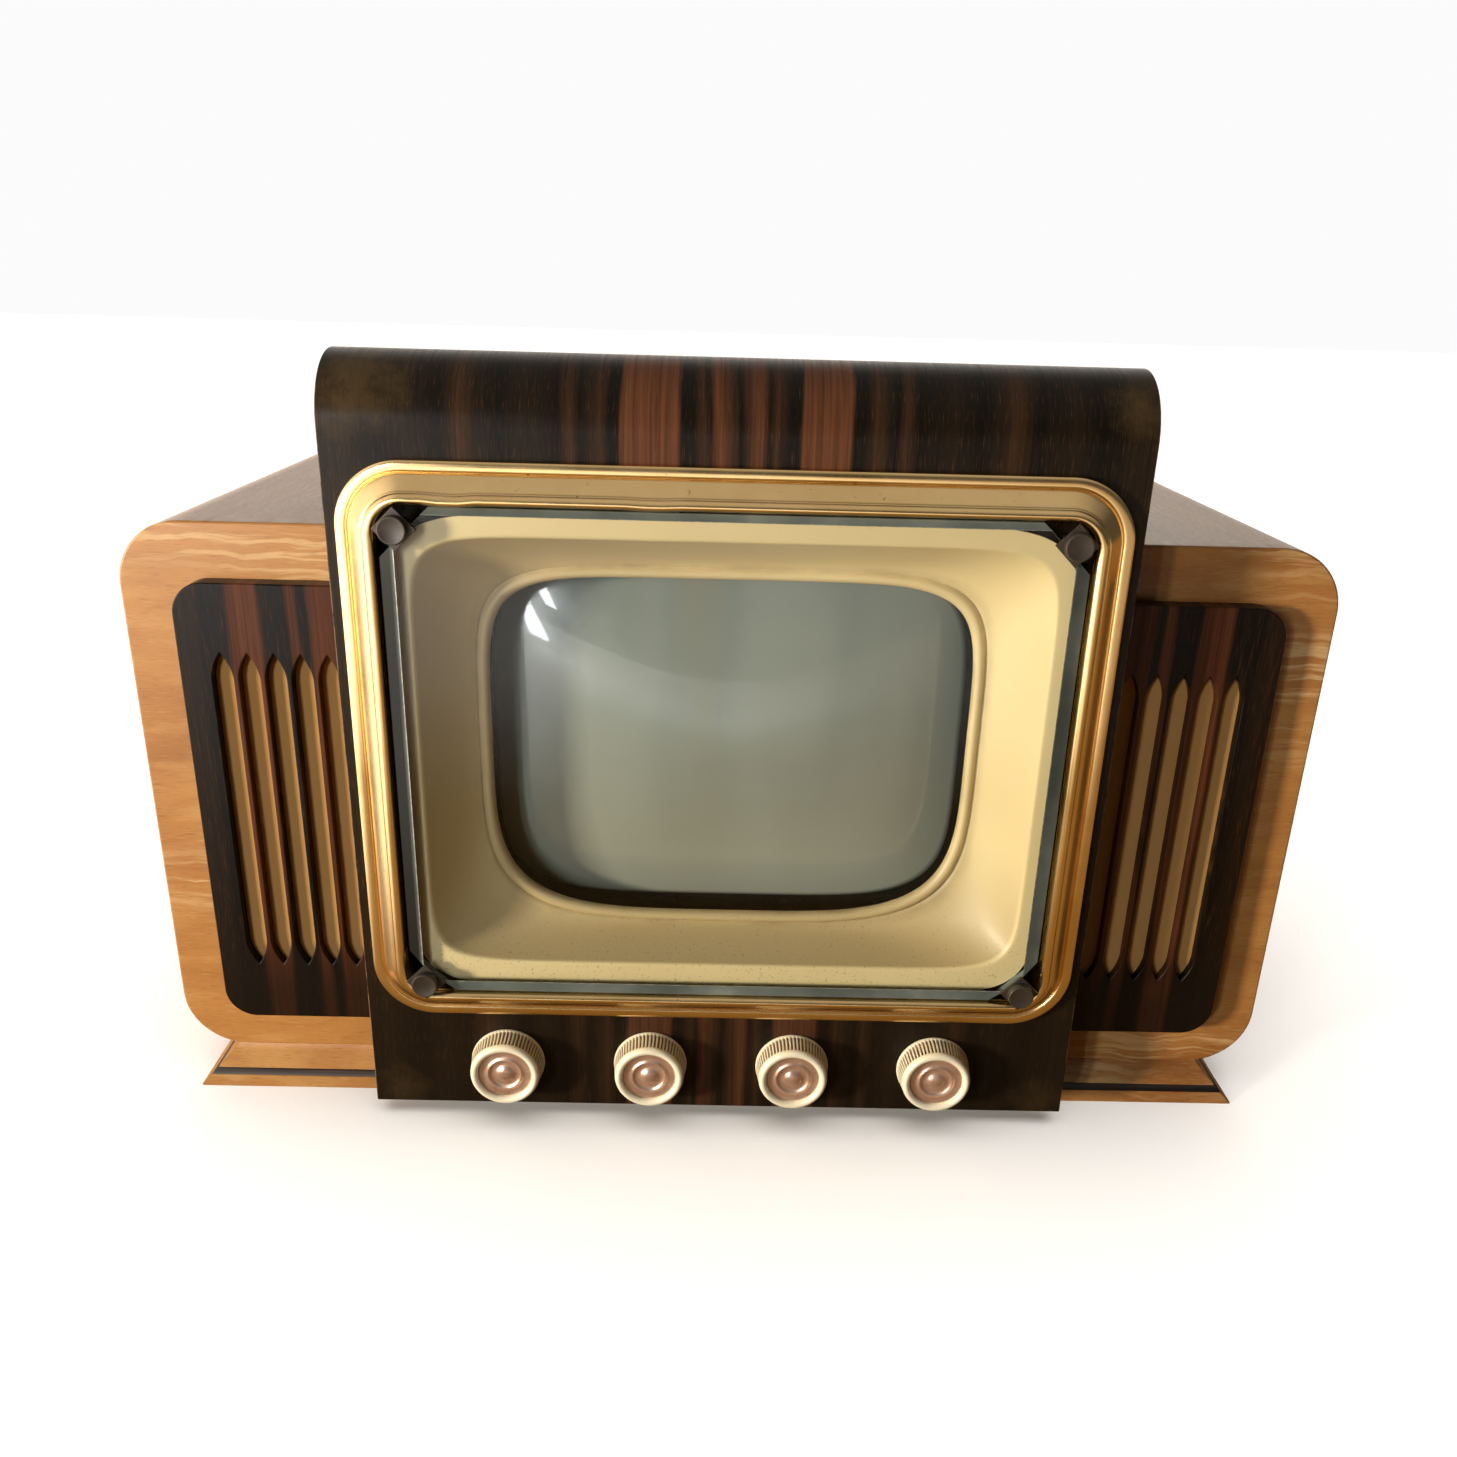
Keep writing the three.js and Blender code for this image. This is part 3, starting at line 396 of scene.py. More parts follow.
def blond_veneer(name, wrapped):
    """Satin-varnished ash: pale flames and lines, with short pores. The grain runs across the front, and
    from front to back on a sheet that is wrapped round the cabinet."""
    n = Finish(name, coat_weight=0.3, coat_roughness=0.25, specular_ior_level=0.25)
    x, y, z = n.parts()
    along, height = x, z
    if wrapped:
        along, height = y, n.minus(z, n.size(x))
    sheet = n.join(along, 0.0, height)
    drift = n.noise((5, 1, 16), sheet, detail=2)
    rings = n.plus(n.times(height, 62), n.times(drift, 7.5))
    ring = n.math("FRACT", rings)
    flame = n.span(n.noise((9, 1, 44), sheet, detail=5, roughness=0.62), 0.5, 0.66)
    ground = n.shades(
        drift, (0.25, 168, 113, 58), (0.45, 190, 134, 72), (0.6, 176, 120, 63), (0.75, 150, 96, 48),
    )
    edge = n.ramp(ring, [
        (0.0, (1, 1, 1)), (0.55, (1, 1, 1)), (0.84, (0.9, 0.85, 0.8)), (0.9, (1.0, 1.0, 1.0)),
        (1.0, (1, 1, 1)),
    ])
    colour = n.mix(0.75, ground, edge, "MULTIPLY")
    colour = n.over(colour, n.times(flame, 0.35), 222, 176, 108)
    cluster = n.span(n.noise((3.5, 1, 9), sheet, detail=2), 0.48, 0.6)
    waver = n.times(n.noise((30, 1, 30), sheet, detail=2), 0.012)
    wavy = n.join(along, 0.0, n.plus(height, waver))
    lines = n.span(n.noise((10, 1, 190), wavy, detail=3, roughness=0.6), 0.5, 0.58)
    colour = n.over(colour, n.times(n.times(cluster, lines), 0.62), 236, 200, 144)
    pores = n.noise((120, 1, 1500), sheet, detail=2)
    colour = n.over(colour, n.span(pores, 0.56, 0.72, 0, 0.4), 106, 64, 32)
    fleck = n.noise((70, 1, 900), sheet, detail=1)
    colour = n.over(colour, n.span(fleck, 0.62, 0.76, 0, 0.35), 218, 176, 116)
    n.bump(n.minus(n.times(ring, 0.4), pores), 0.18, 0.0002)
    return n.finish(colour, pores, 0.34, 0.5)


def striped(n, across, along, stops, seed, relief=0.14):
    """The colour and streaks of striped ebony: stops run over the distance across, in metres, on a span
    of 0.22."""
    lines = n.join(across, seed, along)
    sway = n.minus(n.noise((26, 1, 4.5), lines, detail=3, roughness=0.6), 0.5)
    shiver = n.minus(n.noise((240, 1, 14), lines, detail=2), 0.5)
    place = n.plus(across, n.times(sway, 0.013))
    place = n.plus(place, n.times(shiver, 0.0026))
    colour = n.ramp(n.math("DIVIDE", place, 0.22), stops)
    streak = n.noise((520, 1, 7), lines, detail=3, roughness=0.65)
    colour = n.mix(0.85, colour, n.ramp(streak, [
        (0.28, (0.4, 0.38, 0.36)), (0.5, (0.95, 0.95, 0.95)), (0.72, (1.5, 1.42, 1.3)),
    ]), "MULTIPLY")
    grain = n.noise((2200, 1, 75), lines, detail=1)
    n.bump(n.minus(streak, grain), relief, 0.00015)
    return n.mix(n.span(grain, 0.6, 0.78, 0, 0.3), colour, tone(126, 92, 62)), streak


# ebony's tones
BLACK = tone(19, 15, 11)
UMBER = tone(36, 27, 18)
BROWN = tone(60, 41, 27)
RUSSET = tone(98, 61, 41)

# places and radius of the hood's wear, and how strong it is
WORN_CORNER = (-0.2, -0.226, 0.45, 0.05)
WORN_SPOTS = (
    ((0.208, -0.226, 0.445, 0.034), 0.8),
    ((-0.2, -0.237, 0.02, 0.035), 0.7),
    ((0.2, -0.237, 0.02, 0.035), 0.7),
)


def hood_veneer():
    """Book-matched striped ebony: two broad russet stripes either side of the middle."""
    n = Finish("ebony_hood", coat_weight=0.03, coat_roughness=0.2, specular_ior_level=0.12)
    x, y, z = n.parts()
    stripes = [
        (0.0, BLACK), (0.02, BROWN), (0.055, RUSSET), (0.075, BLACK), (0.09, BROWN), (0.115, BLACK),
        (0.142, BLACK), (0.15, RUSSET), (0.262, RUSSET), (0.272, BLACK), (0.3, BLACK), (0.32, BROWN),
        (0.35, UMBER), (0.375, BLACK), (0.4, BROWN), (0.43, BLACK), (0.5, UMBER), (0.56, BLACK),
        (0.62, UMBER), (0.66, BROWN), (0.7, BLACK), (0.78, UMBER), (0.85, BLACK), (0.93, UMBER),
        (1.0, UMBER),
    ]
    handed = n.times(n.math("SIGN", x), 3.0)
    colour, streak = striped(n, n.size(x), n.plus(z, y), stripes, handed, 0.16)
    worn = n.noise(60, detail=4, roughness=0.7)
    patch = n.away(*WORN_CORNER)
    for place, share in WORN_SPOTS:
        patch = n.most(patch, n.times(n.away(*place), share))
    share = n.span(n.times(worn, patch), 0.16, 0.42, 0, 0.38)
    colour = n.over(colour, share, 106, 86, 54)
    colour = n.over(colour, n.span(z, 0.12, 0.07, 0, 0.5), 32, 23, 15)
    rim = n.times(n.span(n.size(x), 0.2165, 0.2171, 0, 0.7), n.span(worn, 0.4, 0.55))
    rim = n.times(rim, n.span(y, -0.23, -0.21, 1, 0.1))
    colour = n.over(colour, rim, 168, 140, 104)
    return n.finish(colour, streak, 0.4, 0.27)


def grille_veneer():
    """The wings' boards: broad black and russet stripes, mirrored from one wing to the other."""
    n = Finish("ebony_grille", coat_weight=0.02, coat_roughness=0.25, specular_ior_level=0.12)
    x, _, z = n.parts()
    inwards = n.minus(0.32, n.size(x))
    stripes = [
        (0.0, UMBER), (0.06, UMBER), (0.08, BLACK), (0.142, BLACK), (0.16, RUSSET), (0.222, RUSSET),
        (0.236, BLACK), (0.3, BLACK), (0.312, RUSSET), (0.326, RUSSET), (0.34, BLACK), (0.356, BLACK),
        (0.366, RUSSET), (0.47, RUSSET), (0.5, BROWN), (1.0, UMBER),
    ]
    handed = n.times(n.math("SIGN", x), 0.4)
    colour, streak = striped(n, inwards, z, stripes, handed)
    colour = n.mix(1.0, colour, (0.7, 0.58, 0.5, 1), "MULTIPLY")
    colour = n.over(colour, n.span(z, 0.13, 0.075, 0, 0.75), 24, 18, 13)
    return n.finish(colour, streak, 0.42, 0.3)


def cheek_veneer():
    """The hood's sides: plain dark ebony with upright grain."""
    n = Finish("ebony_cheek", coat_weight=0.03, coat_roughness=0.25, specular_ior_level=0.15)
    _, y, z = n.parts()
    stripes = [(0.0, UMBER), (0.2, BLACK), (0.4, UMBER), (0.6, BROWN), (0.8, BLACK), (1.0, UMBER)]
    colour, streak = striped(n, n.plus(y, 0.24), z, stripes, 0.0)
    return n.finish(colour, streak, 0.42, 0.3)


def dark_inlay():
    """Stained stringing with a lighter streak here and there."""
    n = Finish("dark_inlay")
    streak = n.noise((12, 200, 900), detail=3)
    colour = n.shades(streak, (0.3, 26, 19, 18), (0.6, 44, 33, 30), (0.8, 84, 66, 54))
    n.bump(streak, 0.2, 0.0001)
    return n.finish(colour, streak, 0.4, 0.6)


def gold_metal():
    """Gold-lacquered brass: polished, with faint dulling and specks."""
    n = Finish("gold_metal", metallic=1.0)
    cloud = n.noise(14, detail=4, roughness=0.6)
    speck = n.noise(420, detail=2)
    colour = n.shades(cloud, (0.3, 226, 190, 128), (0.55, 240, 206, 148), (0.75, 232, 194, 130))
    colour = n.over(colour, n.span(speck, 0.7, 0.8, 0, 0.7), 120, 80, 36)
    n.bump(n.plus(n.times(cloud, 3.0), speck), 0.025, 0.0002)
    return n.finish(colour, cloud, 0.16, 0.26)


def clear_glass():
    """Clean plate glass: clear head on, mirroring at a glance."""
    n = Finish("clear_glass", roughness=0.02, base_color=tone(214, 226, 220))
    smear = n.noise((9, 9, 24), detail=3)
    n.paint(roughness=n.span(smear, 0.4, 0.8, 0.015, 0.05))
    clear = n.new("BsdfTransparent", (0.98, 0.99, 0.985, 1))
    glance = n.new("LayerWeight", 0.5).outputs["Facing"]
    share = n.plus(n.times(n.math("POWER", glance, 4.0), 0.5), 0.014)
    mirror = n.new("BsdfGlossy", (1, 1, 1, 1), 0.02)
    both = n.new("MixShader", share, clear.outputs[0], mirror.outputs[0])
    n.feed(n.output.inputs["Surface"], both.outputs[0])
    return n.material


def glass_edge():
    """The ground bevel of the plate: green-blue, with what is behind it showing dimly, and its left strip
    painted dark as shade.
    """
    n = Finish("glass_edge", specular_ior_level=0.15)
    streak = n.noise(30, detail=3)
    colour = n.shades(streak, (0.3, 86, 96, 94), (0.6, 112, 122, 118), (0.8, 138, 148, 142))
    x = n.parts()["X"]
    # painted shade: the bevel's left strip is painted near black
    colour = n.over(colour, n.span(x, -0.176, -0.179), 34, 34, 30)
    return n.finish(colour, streak, 0.08, 0.2)


def glass_arris():
    """The bright line where the bevel meets the pane's face."""
    n = Finish("glass_arris", coat_weight=1.0, coat_roughness=0.05)
    chips = n.noise(260, detail=2)
    colour = n.shades(chips, (0.4, 120, 124, 116), (0.6, 158, 160, 148))
    return n.paint(base_color=colour, roughness=n.span(chips, 0.4, 0.6, 0.1, 0.3))


def cream_mask():
    """Cream-painted pressed mask: shade is painted on its slope low down and on the left; it is darker and
    brownish near its lip, and has dust specks low down.
    """
    n = Finish("cream_mask", coat_weight=0.15, coat_roughness=0.3)
    x, y, z = n.parts()
    cloud = n.noise(7, detail=3)
    colour = n.shades(cloud, (0.3, 226, 204, 150), (0.7, 236, 216, 164))
    slope = n.span(y, mask_low.y + 0.8 * MM, mask_low.y + 2.4 * MM)
    # painted shade: the slope is darkened low down and on the left, where it lies in shade
    shade_side = n.most(n.span(x, 0.06, -0.12), n.span(z, SCREEN.z - 0.05, SCREEN.z - 0.11))
    painted_shade = n.times(slope, shade_side)
    colour = n.over(colour, n.times(painted_shade, 0.62), 168, 144, 102)
    # darker and brownish near the lip, deepest in the mask, unevenly
    lip_mottle = n.noise(34, detail=5, roughness=0.7)
    deep = n.span(y, MASK_LIP_Y - 0.0045, MASK_LIP_Y - 0.0005)
    ring = n.times(deep, n.span(lip_mottle, 0.36, 0.62, 0.15, 1.0))
    colour = n.over(colour, n.times(ring, 0.55), 112, 92, 58)
    specks = n.noise(700, detail=1)
    low = n.span(z, 0.16, 0.135)
    dust = n.times(n.span(specks, 0.66, 0.74), low)
    colour = n.over(colour, n.times(dust, 0.5), 124, 108, 78)
    n.bump(specks, 0.05, 0.0002)
    return n.finish(colour, cloud, 0.42, 0.55)


LIT_HALF = (0.1405, 0.1075)  # half width and height of the phosphor


def tube_glass():
    """The picture tube: grey-green phosphor under polished glass, with shade painted near black towards its
    edges and its lower part painted lighter.
    """
    n = Finish("tube_glass", coat_weight=0.7, coat_roughness=0.03)
    x, y, z = n.parts()
    lift = n.minus(z, SCREEN.z + 0.001)
    shares = (n.math("DIVIDE", n.plus(x, 0.001), LIT_HALF[0]), n.math("DIVIDE", lift, LIT_HALF[1]))
    side, rise = (n.math("POWER", n.size(share), 5.0) for share in shares)
    rim = n.math("POWER", n.plus(side, rise), 0.2)
    cloud = n.noise((14, 6, 3), detail=2)
    upper = n.shades(cloud, (0.35, 138, 138, 124), (0.5, 130, 140, 132), (0.65, 142, 150, 142))
    # painted light: the phosphor is painted lighter low down, standing in for light that falls there
    lower = n.shades(cloud, (0.35, 156, 158, 142), (0.65, 162, 166, 152))
    phosphor = n.mix(n.span(lift, 0.02, -0.085), upper, lower)
    # painted shade: the face goes near black towards its edges, where the mask's lip shades it
    colour = n.mix(n.span(rim, 0.97, 0.996, 0, 1), phosphor, tone(22, 25, 23))
    behind = n.span(y, FACE_Y + 0.02, FACE_Y + 0.03)
    colour = n.over(colour, behind, 46, 44, 42)
    dust = n.noise(240, detail=3)
    return n.finish(colour, dust, 0.16, 0.26)


def dark_nickel():
    """Tarnished nickel, turned: fine rings and a few rubs."""
    n = Finish("dark_nickel", metallic=0.35)
    cloud = n.noise(90, detail=4, roughness=0.65)
    colour = n.shades(cloud, (0.3, 58, 51, 43), (0.7, 70, 62, 53), (0.85, 92, 84, 74))
    fine = n.noise((2200, 300, 300), detail=2)
    n.bump(fine, 0.15, 0.0001)
    return n.finish(colour, cloud, 0.36, 0.5)


def ivory_plastic():
    """Ivory moulding, browned in the gaps between its ribs."""
    n = Finish("ivory_plastic", coat_weight=0.4, coat_roughness=0.25)
    n.paint(subsurface_weight=0.06, subsurface_scale=0.002)
    cloud = n.noise(110, detail=4, roughness=0.6)
    clean_colour = n.shades(cloud, (0.3, 250, 240, 206), (0.7, 254, 247, 222))
    gap = n.new("Attribute")
    gap.attribute_name = "gap"
    share = n.times(gap.outputs["Fac"], n.span(cloud, 0.3, 0.6, 0.6, 0.95))
    colour = n.mix(share, clean_colour, tone(122, 88, 50))
    return n.finish(colour, cloud, 0.32, 0.46)


def rose_metal():
    """Pressed anodised disc, old rose, with turned rings."""
    n = Finish("rose_metal", metallic=0.7)
    cloud = n.noise(120, detail=4, roughness=0.6)
    colour = n.shades(cloud, (0.3, 206, 170, 150), (0.6, 220, 186, 166), (0.8, 228, 198, 180))
    speck = n.noise(900, detail=1)
    colour = n.over(colour, n.span(speck, 0.7, 0.78, 0, 0.6), 118, 84, 66)
    n.bump(speck, 0.05, 0.0001)
    return n.finish(colour, cloud, 0.26, 0.38)


THREADS = 2 * math.pi / 0.0008  # threads and wires are 0.8 mm apart
PRESSED_MESH = 3000.0


def woven_cloth():
    """Tan grille cloth in a plain weave of 0.8 mm threads."""
    n = Finish("grille_cloth", roughness=0.9, specular_ior_level=0.1)
    x, _, z = n.parts()
    warp = n.sine(x, THREADS)
    weft = n.sine(z, THREADS)
    weave = n.times(warp, weft)
    shade = n.noise(20, detail=3)
    colour = n.shades(shade, (0.3, 216, 170, 104), (0.7, 238, 192, 124))
    thread = n.noise((1200, 10, 60), detail=1)
    colour = n.mix(n.span(n.plus(weave, thread), -0.2, 1.2, 0, 0.3), tone(192, 144, 84), colour)
    n.bump(weave, 0.4, 0.0002)
    return n.paint(base_color=colour)


def fibreboard():
    """Brown hardboard: matted fibres and a faint pressed mesh."""
    n = Finish("fibreboard", roughness=0.8)
    fibres = n.noise((900, 900, 260), detail=5, roughness=0.75)
    cloud = n.noise(9, detail=3)
    colour = n.shades(fibres, (0.3, 92, 62, 41), (0.55, 126, 88, 58), (0.8, 160, 120, 84))
    shade = n.ramp(cloud, [(0.3, (0.8, 0.78, 0.76)), (0.7, (1.1, 1.08, 1.05))])
    colour = n.mix(0.5, colour, shade, "MULTIPLY")
    x, _, z = n.parts()
    mesh = n.times(n.sine(x, PRESSED_MESH), n.sine(z, PRESSED_MESH))
    n.bump(n.plus(fibres, n.times(mesh, 0.4)), 0.35, 0.0003)
    return n.finish(colour, fibres, 0.7, 0.9)


def metal(name, dark, light, roughness, scale, metallic=1.0):
    """Plated or painted metal with blotches and fine scratches."""
    n = Finish(name, metallic=metallic)
    cloud = n.noise(scale, detail=4, roughness=0.65)
    scratch = n.noise((40, 40, 1500), detail=2)
    colour = n.mix(n.span(scratch, 0.62, 0.75, 0, 0.4), n.ramp(cloud, [(0.3, dark), (0.7, light)]), light)
    n.bump(scratch, 0.08, 0.0001)
    return n.finish(colour, cloud, roughness - 0.08, roughness + 0.1)


def bakelite():
    """Phenolic moulding: near-black brown with a faint marbling."""
    n = Finish("bakelite", coat_weight=0.4, coat_roughness=0.15)
    swirl = n.noise(60, detail=4, distortion=1.6)
    colour = n.shades(swirl, (0.35, 30, 20, 16), (0.6, 48, 31, 23), (0.75, 74, 46, 32))
    return n.finish(colour, swirl, 0.3, 0.42)


def copper_winding():
    """Enamelled wire laid side by side."""
    n = Finish("copper_winding", metallic=0.6)
    y = n.parts()["Y"]
    wires = n.sine(y, THREADS)
    cloud = n.noise(80, detail=3)
    colour = n.shades(cloud, (0.3, 120, 62, 34), (0.7, 168, 94, 52))
    n.bump(wires, 0.5, 0.0002)
    return n.finish(colour, cloud, 0.3, 0.45)


def cone_paper():
    n = Finish("cone_paper", roughness=0.9)
    fibres = n.noise(500, detail=5, roughness=0.7)
    colour = n.shades(fibres, (0.3, 34, 31, 29), (0.7, 64, 58, 52))
    n.bump(fibres, 0.4, 0.0003)
    return n.paint(base_color=colour)


def valve_glass():
    """A valve's bulb: grey glass, silvered at the top by its getter."""
    n = Finish("valve_glass", coat_weight=1.0, coat_roughness=0.03)
    z = n.parts()["Z"]
    silver = n.span(z, 0.118, 0.132)
    cloud = n.noise(60, detail=3)
    colour = n.mix(silver, n.shades(cloud, (0.3, 70, 76, 76), (0.7, 96, 102, 100)), tone(176, 178, 176))
    return n.paint(base_color=colour, metallic=n.times(silver, 0.8), roughness=0.2)


def floor_paint():
    """Pale floor; as painted light, in the set it is mirrored brown close by and on the right, glows on the
    left in reflections only, and bounces light as a darker brown.
    """
    n = Finish("floor_paint", roughness=0.9, specular_ior_level=0.1)
    cloud = n.noise(1.5, detail=2)
    pale = n.shades(cloud, (0.3, 244, 243, 241), (0.7, 247, 246, 244))
    x, y, _ = n.parts()
    away = n.times(n.span(y, -0.75, -1.15), n.span(x, 0.1, 0.7, 1.0, 0.3))
    lit = n.most(away, n.span(x, -0.35, -0.6))
    mirrored = n.mix(lit, tone(126, 98, 54), pale)
    rays = n.new("LightPath").outputs
    shiny = rays["Is Glossy Ray"]
    colour = n.mix(shiny, pale, mirrored)
    # painted highlight: the floor's left glows in reflections only, though it is no lamp
    sunny = n.times(n.times(shiny, n.span(x, -0.45, -0.9)), 0.8)
    n.paint(emission_color=pale, emission_strength=sunny)
    # painted shade: light bounced from the floor comes from a darker brown
    return n.paint(base_color=n.mix(rays["Is Diffuse Ray"], colour, tone(86, 66, 45)))


# ---- places taken from the frame

hood_low, hood_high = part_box("fascia_hood")
bezel_low, bezel_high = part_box("bezel")
glass_low, glass_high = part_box("safety_glass")
mask_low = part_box("screen_mask")[0]
tube_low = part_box("picture_tube")[0]
baffle_low, baffle_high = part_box("front_baffle")
shell_low, shell_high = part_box("cabinet_shell")
SCREEN = (bezel_low + bezel_high) / 2
FASCIA_Y = hood_low.y
BAND_Y = baffle_low.y
FACE_Y = tube_low.y
MASK_DEPTH = 31 * MM
MASK_LIP_Y = mask_low.y + MASK_DEPTH
BOARD = baffle_high.y - baffle_low.y

M = {
    "blond": blond_veneer("blond_veneer", wrapped=True),
    "blond_front": blond_veneer("blond_veneer_front", wrapped=False),
    "hood": hood_veneer(),
    "grille": grille_veneer(),
    "cheek": cheek_veneer(),
    "inlay": dark_inlay(),
    "gold": gold_metal(),
    "glass": clear_glass(),
    "glass_edge": glass_edge(),
    "glass_arris": glass_arris(),
    "mask": cream_mask(),
    "tube": tube_glass(),
    "nickel": dark_nickel(),
    "ivory": ivory_plastic(),
    "rose": rose_metal(),
    "cloth": woven_cloth(),
    "fibre": fibreboard(),
    "steel": metal("zinc_steel", tone(128, 130, 130), tone(176, 178, 176), 0.42, 40),
    "iron": metal("black_iron", tone(28, 28, 29), tone(58, 57, 56), 0.55, 50, 0.4),
    "can": metal("bright_can", tone(168, 170, 170), tone(206, 208, 206), 0.3, 30),
    "bakelite": bakelite(),
    "copper": copper_winding(),
    "cone": cone_paper(),
    "valve": valve_glass(),
}

# ---- cabinet

CORNER = 38 * MM
GAP_HALF = 178 * MM  # half width of the gap for the hood
GAP_LOW = 106 * MM
GAP_BACK = -90 * MM
GAP_DEPTH = 24 * MM  # in the cabinet's top
PAST = 5 * MM  # how far a cutting tool reaches past what it cuts


def cabinet():
    half = shell_high.x
    outer = rounded(-half, half, shell_low.z, shell_high.z, CORNER)
    inner = rounded(-half + BOARD, half - BOARD, shell_low.z + BOARD, shell_high.z - BOARD, CORNER - BOARD)
    start = baffle_high.y
    shape = board([outer, inner[::-1]], facing(start), eased(0, 1.2 * MM, shell_high.y - start))
    made = piece("veneered_cabinet", shape, "blond", "cabinet_shell")
    top = shell_high.z
    cut_away(made, box_mesh((-GAP_HALF, start - PAST, top - GAP_DEPTH), (GAP_HALF, GAP_BACK, top + PAST)))
    even_normals(made)


def front_band():
    half, top, edge = baffle_high.x, baffle_high.z, 5 * MM
    loops = [rounded(-half, half, baffle_low.z, top, CORNER)]
    for hand in HANDS:
        low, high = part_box("grille_cloth_" + hand)
        hole = rounded(low.x + edge, high.x - edge, low.z + edge, high.z - edge, 10 * MM, 6)
        loops.append(hole[::-1])
    shape = board(loops, facing(BAND_Y), eased(1.5 * MM, 0, BOARD))
    made = piece("blond_front_band", shape, "blond_front", "front_baffle")
    behind = BAND_Y + BOARD + PAST
    cut_away(made, box_mesh((-GAP_HALF, BAND_Y - PAST, GAP_LOW), (GAP_HALF, behind, top + PAST)))
    even_normals(made)


# slots in the wings' boards
SLOTS = 5
SLOT_FIRST = 292.8 * MM
SLOT_PITCH = 15.3 * MM
SLOT_HALF = 6 * MM
SLOT_LOW = 91.8 * MM
SLOT_HIGH = 296 * MM
SLOT_TIP = 17 * MM


def slot_loop(x):
    """One slot with a pointed, swept tip at each end, counter-clockwise."""
    left, right, pull = x - SLOT_HALF, x + SLOT_HALF, SLOT_TIP / 2
    sweeps = (
        ((left, SLOT_LOW + SLOT_TIP), (left, SLOT_LOW + pull), (x, SLOT_LOW)),
        ((x, SLOT_LOW), (right, SLOT_LOW + pull), (right, SLOT_LOW + SLOT_TIP)),
        ((right, SLOT_HIGH - SLOT_TIP), (right, SLOT_HIGH - pull), (x, SLOT_HIGH)),
        ((x, SLOT_HIGH), (left, SLOT_HIGH - pull), (left, SLOT_HIGH - SLOT_TIP)),
    )
    loop, steps = [], 12
    for ends in sweeps:
        for i in range(steps):
            t = i / steps
            loop.append(tuple((1 - t) ** 2 * a + 2 * t * (1 - t) * b + t * t * c for a, b, c in zip(*ends)))
    return loop


def grille_board(hand):
    side = -1 if hand == "left" else 1
    low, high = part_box("grille_panel_" + hand)
    inner, outer = sorted((abs(low.x), abs(high.x)))
    bend = 19 * MM
    outline = [(inner, low.z)] + arc(outer - bend, low.z + bend, bend, -90, 0, 14)
    outline += arc(outer - bend, high.z - bend, bend, 0, 90, 14) + [(inner, high.z)]
    loops = [outline]
    loops += [slot_loop(SLOT_FIRST - i * SLOT_PITCH)[::-1] for i in range(SLOTS)]
    shape = board(loops, facing(low.y, side), eased(0.9 * MM, 0, high.y - low.y))
    made = piece("grille_board_" + hand, shape, "grille", "grille_panel_" + hand)
    cloth_low, cloth_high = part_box("grille_cloth_" + hand)
    room = 0.3 * MM
    cut_away(made, box_mesh(
        (cloth_low.x - room, cloth_low.y - room, cloth_low.z - room),
        (cloth_high.x + room, high.y + PAST, cloth_high.z + room),
    ))
    even_normals(made)


def grille_cloth(hand):
    """Cloth stretched on the board's back, not quite even."""
    low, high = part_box("grille_cloth_" + hand)
    columns, rows = 84, 120
    row = columns + 1
    verts = []
    for sheet_y in (low.y + 0.1 * MM, high.y):
        for r in range(rows + 1):
            z = low.z + (high.z - low.z) * r / rows
            for c in range(row):
                x = low.x + (high.x - low.x) * c / columns
                wave = 0.0001 * noise.noise(Vector((x * 90, z * 60, 0)))
                verts.append(Vector((x, sheet_y + wave, z)))
    half = row * (rows + 1)
    faces = []
    for base in (0, half):
        corners = [base + r * row + c for r in range(rows) for c in range(columns)]
        faces += [(i, i + 1, i + row + 1, i + row) for i in corners]
    rim = list(range(row)) + [r * row + columns for r in range(1, rows + 1)]
    rim += [rows * row + c for c in range(columns - 1, -1, -1)]
    rim += [r * row for r in range(rows - 1, 0, -1)]
    for here, there in zip(rim, rim[1:] + rim[:1]):
        faces.append((here, there, there + half, here + half))
    made = piece("stretched_cloth_" + hand, (verts, faces), "cloth", "grille_cloth_" + hand)


# ---- hood

BEND = 37 * MM
SLOPE = math.radians(13.3)
SCREEN_HOLE = (166 * MM, 123 * MM, 128 * MM)  # half width, reach down and reach up
SPINDLE_BORE = 5.2 * MM
STUD_BORE = 2.8 * MM


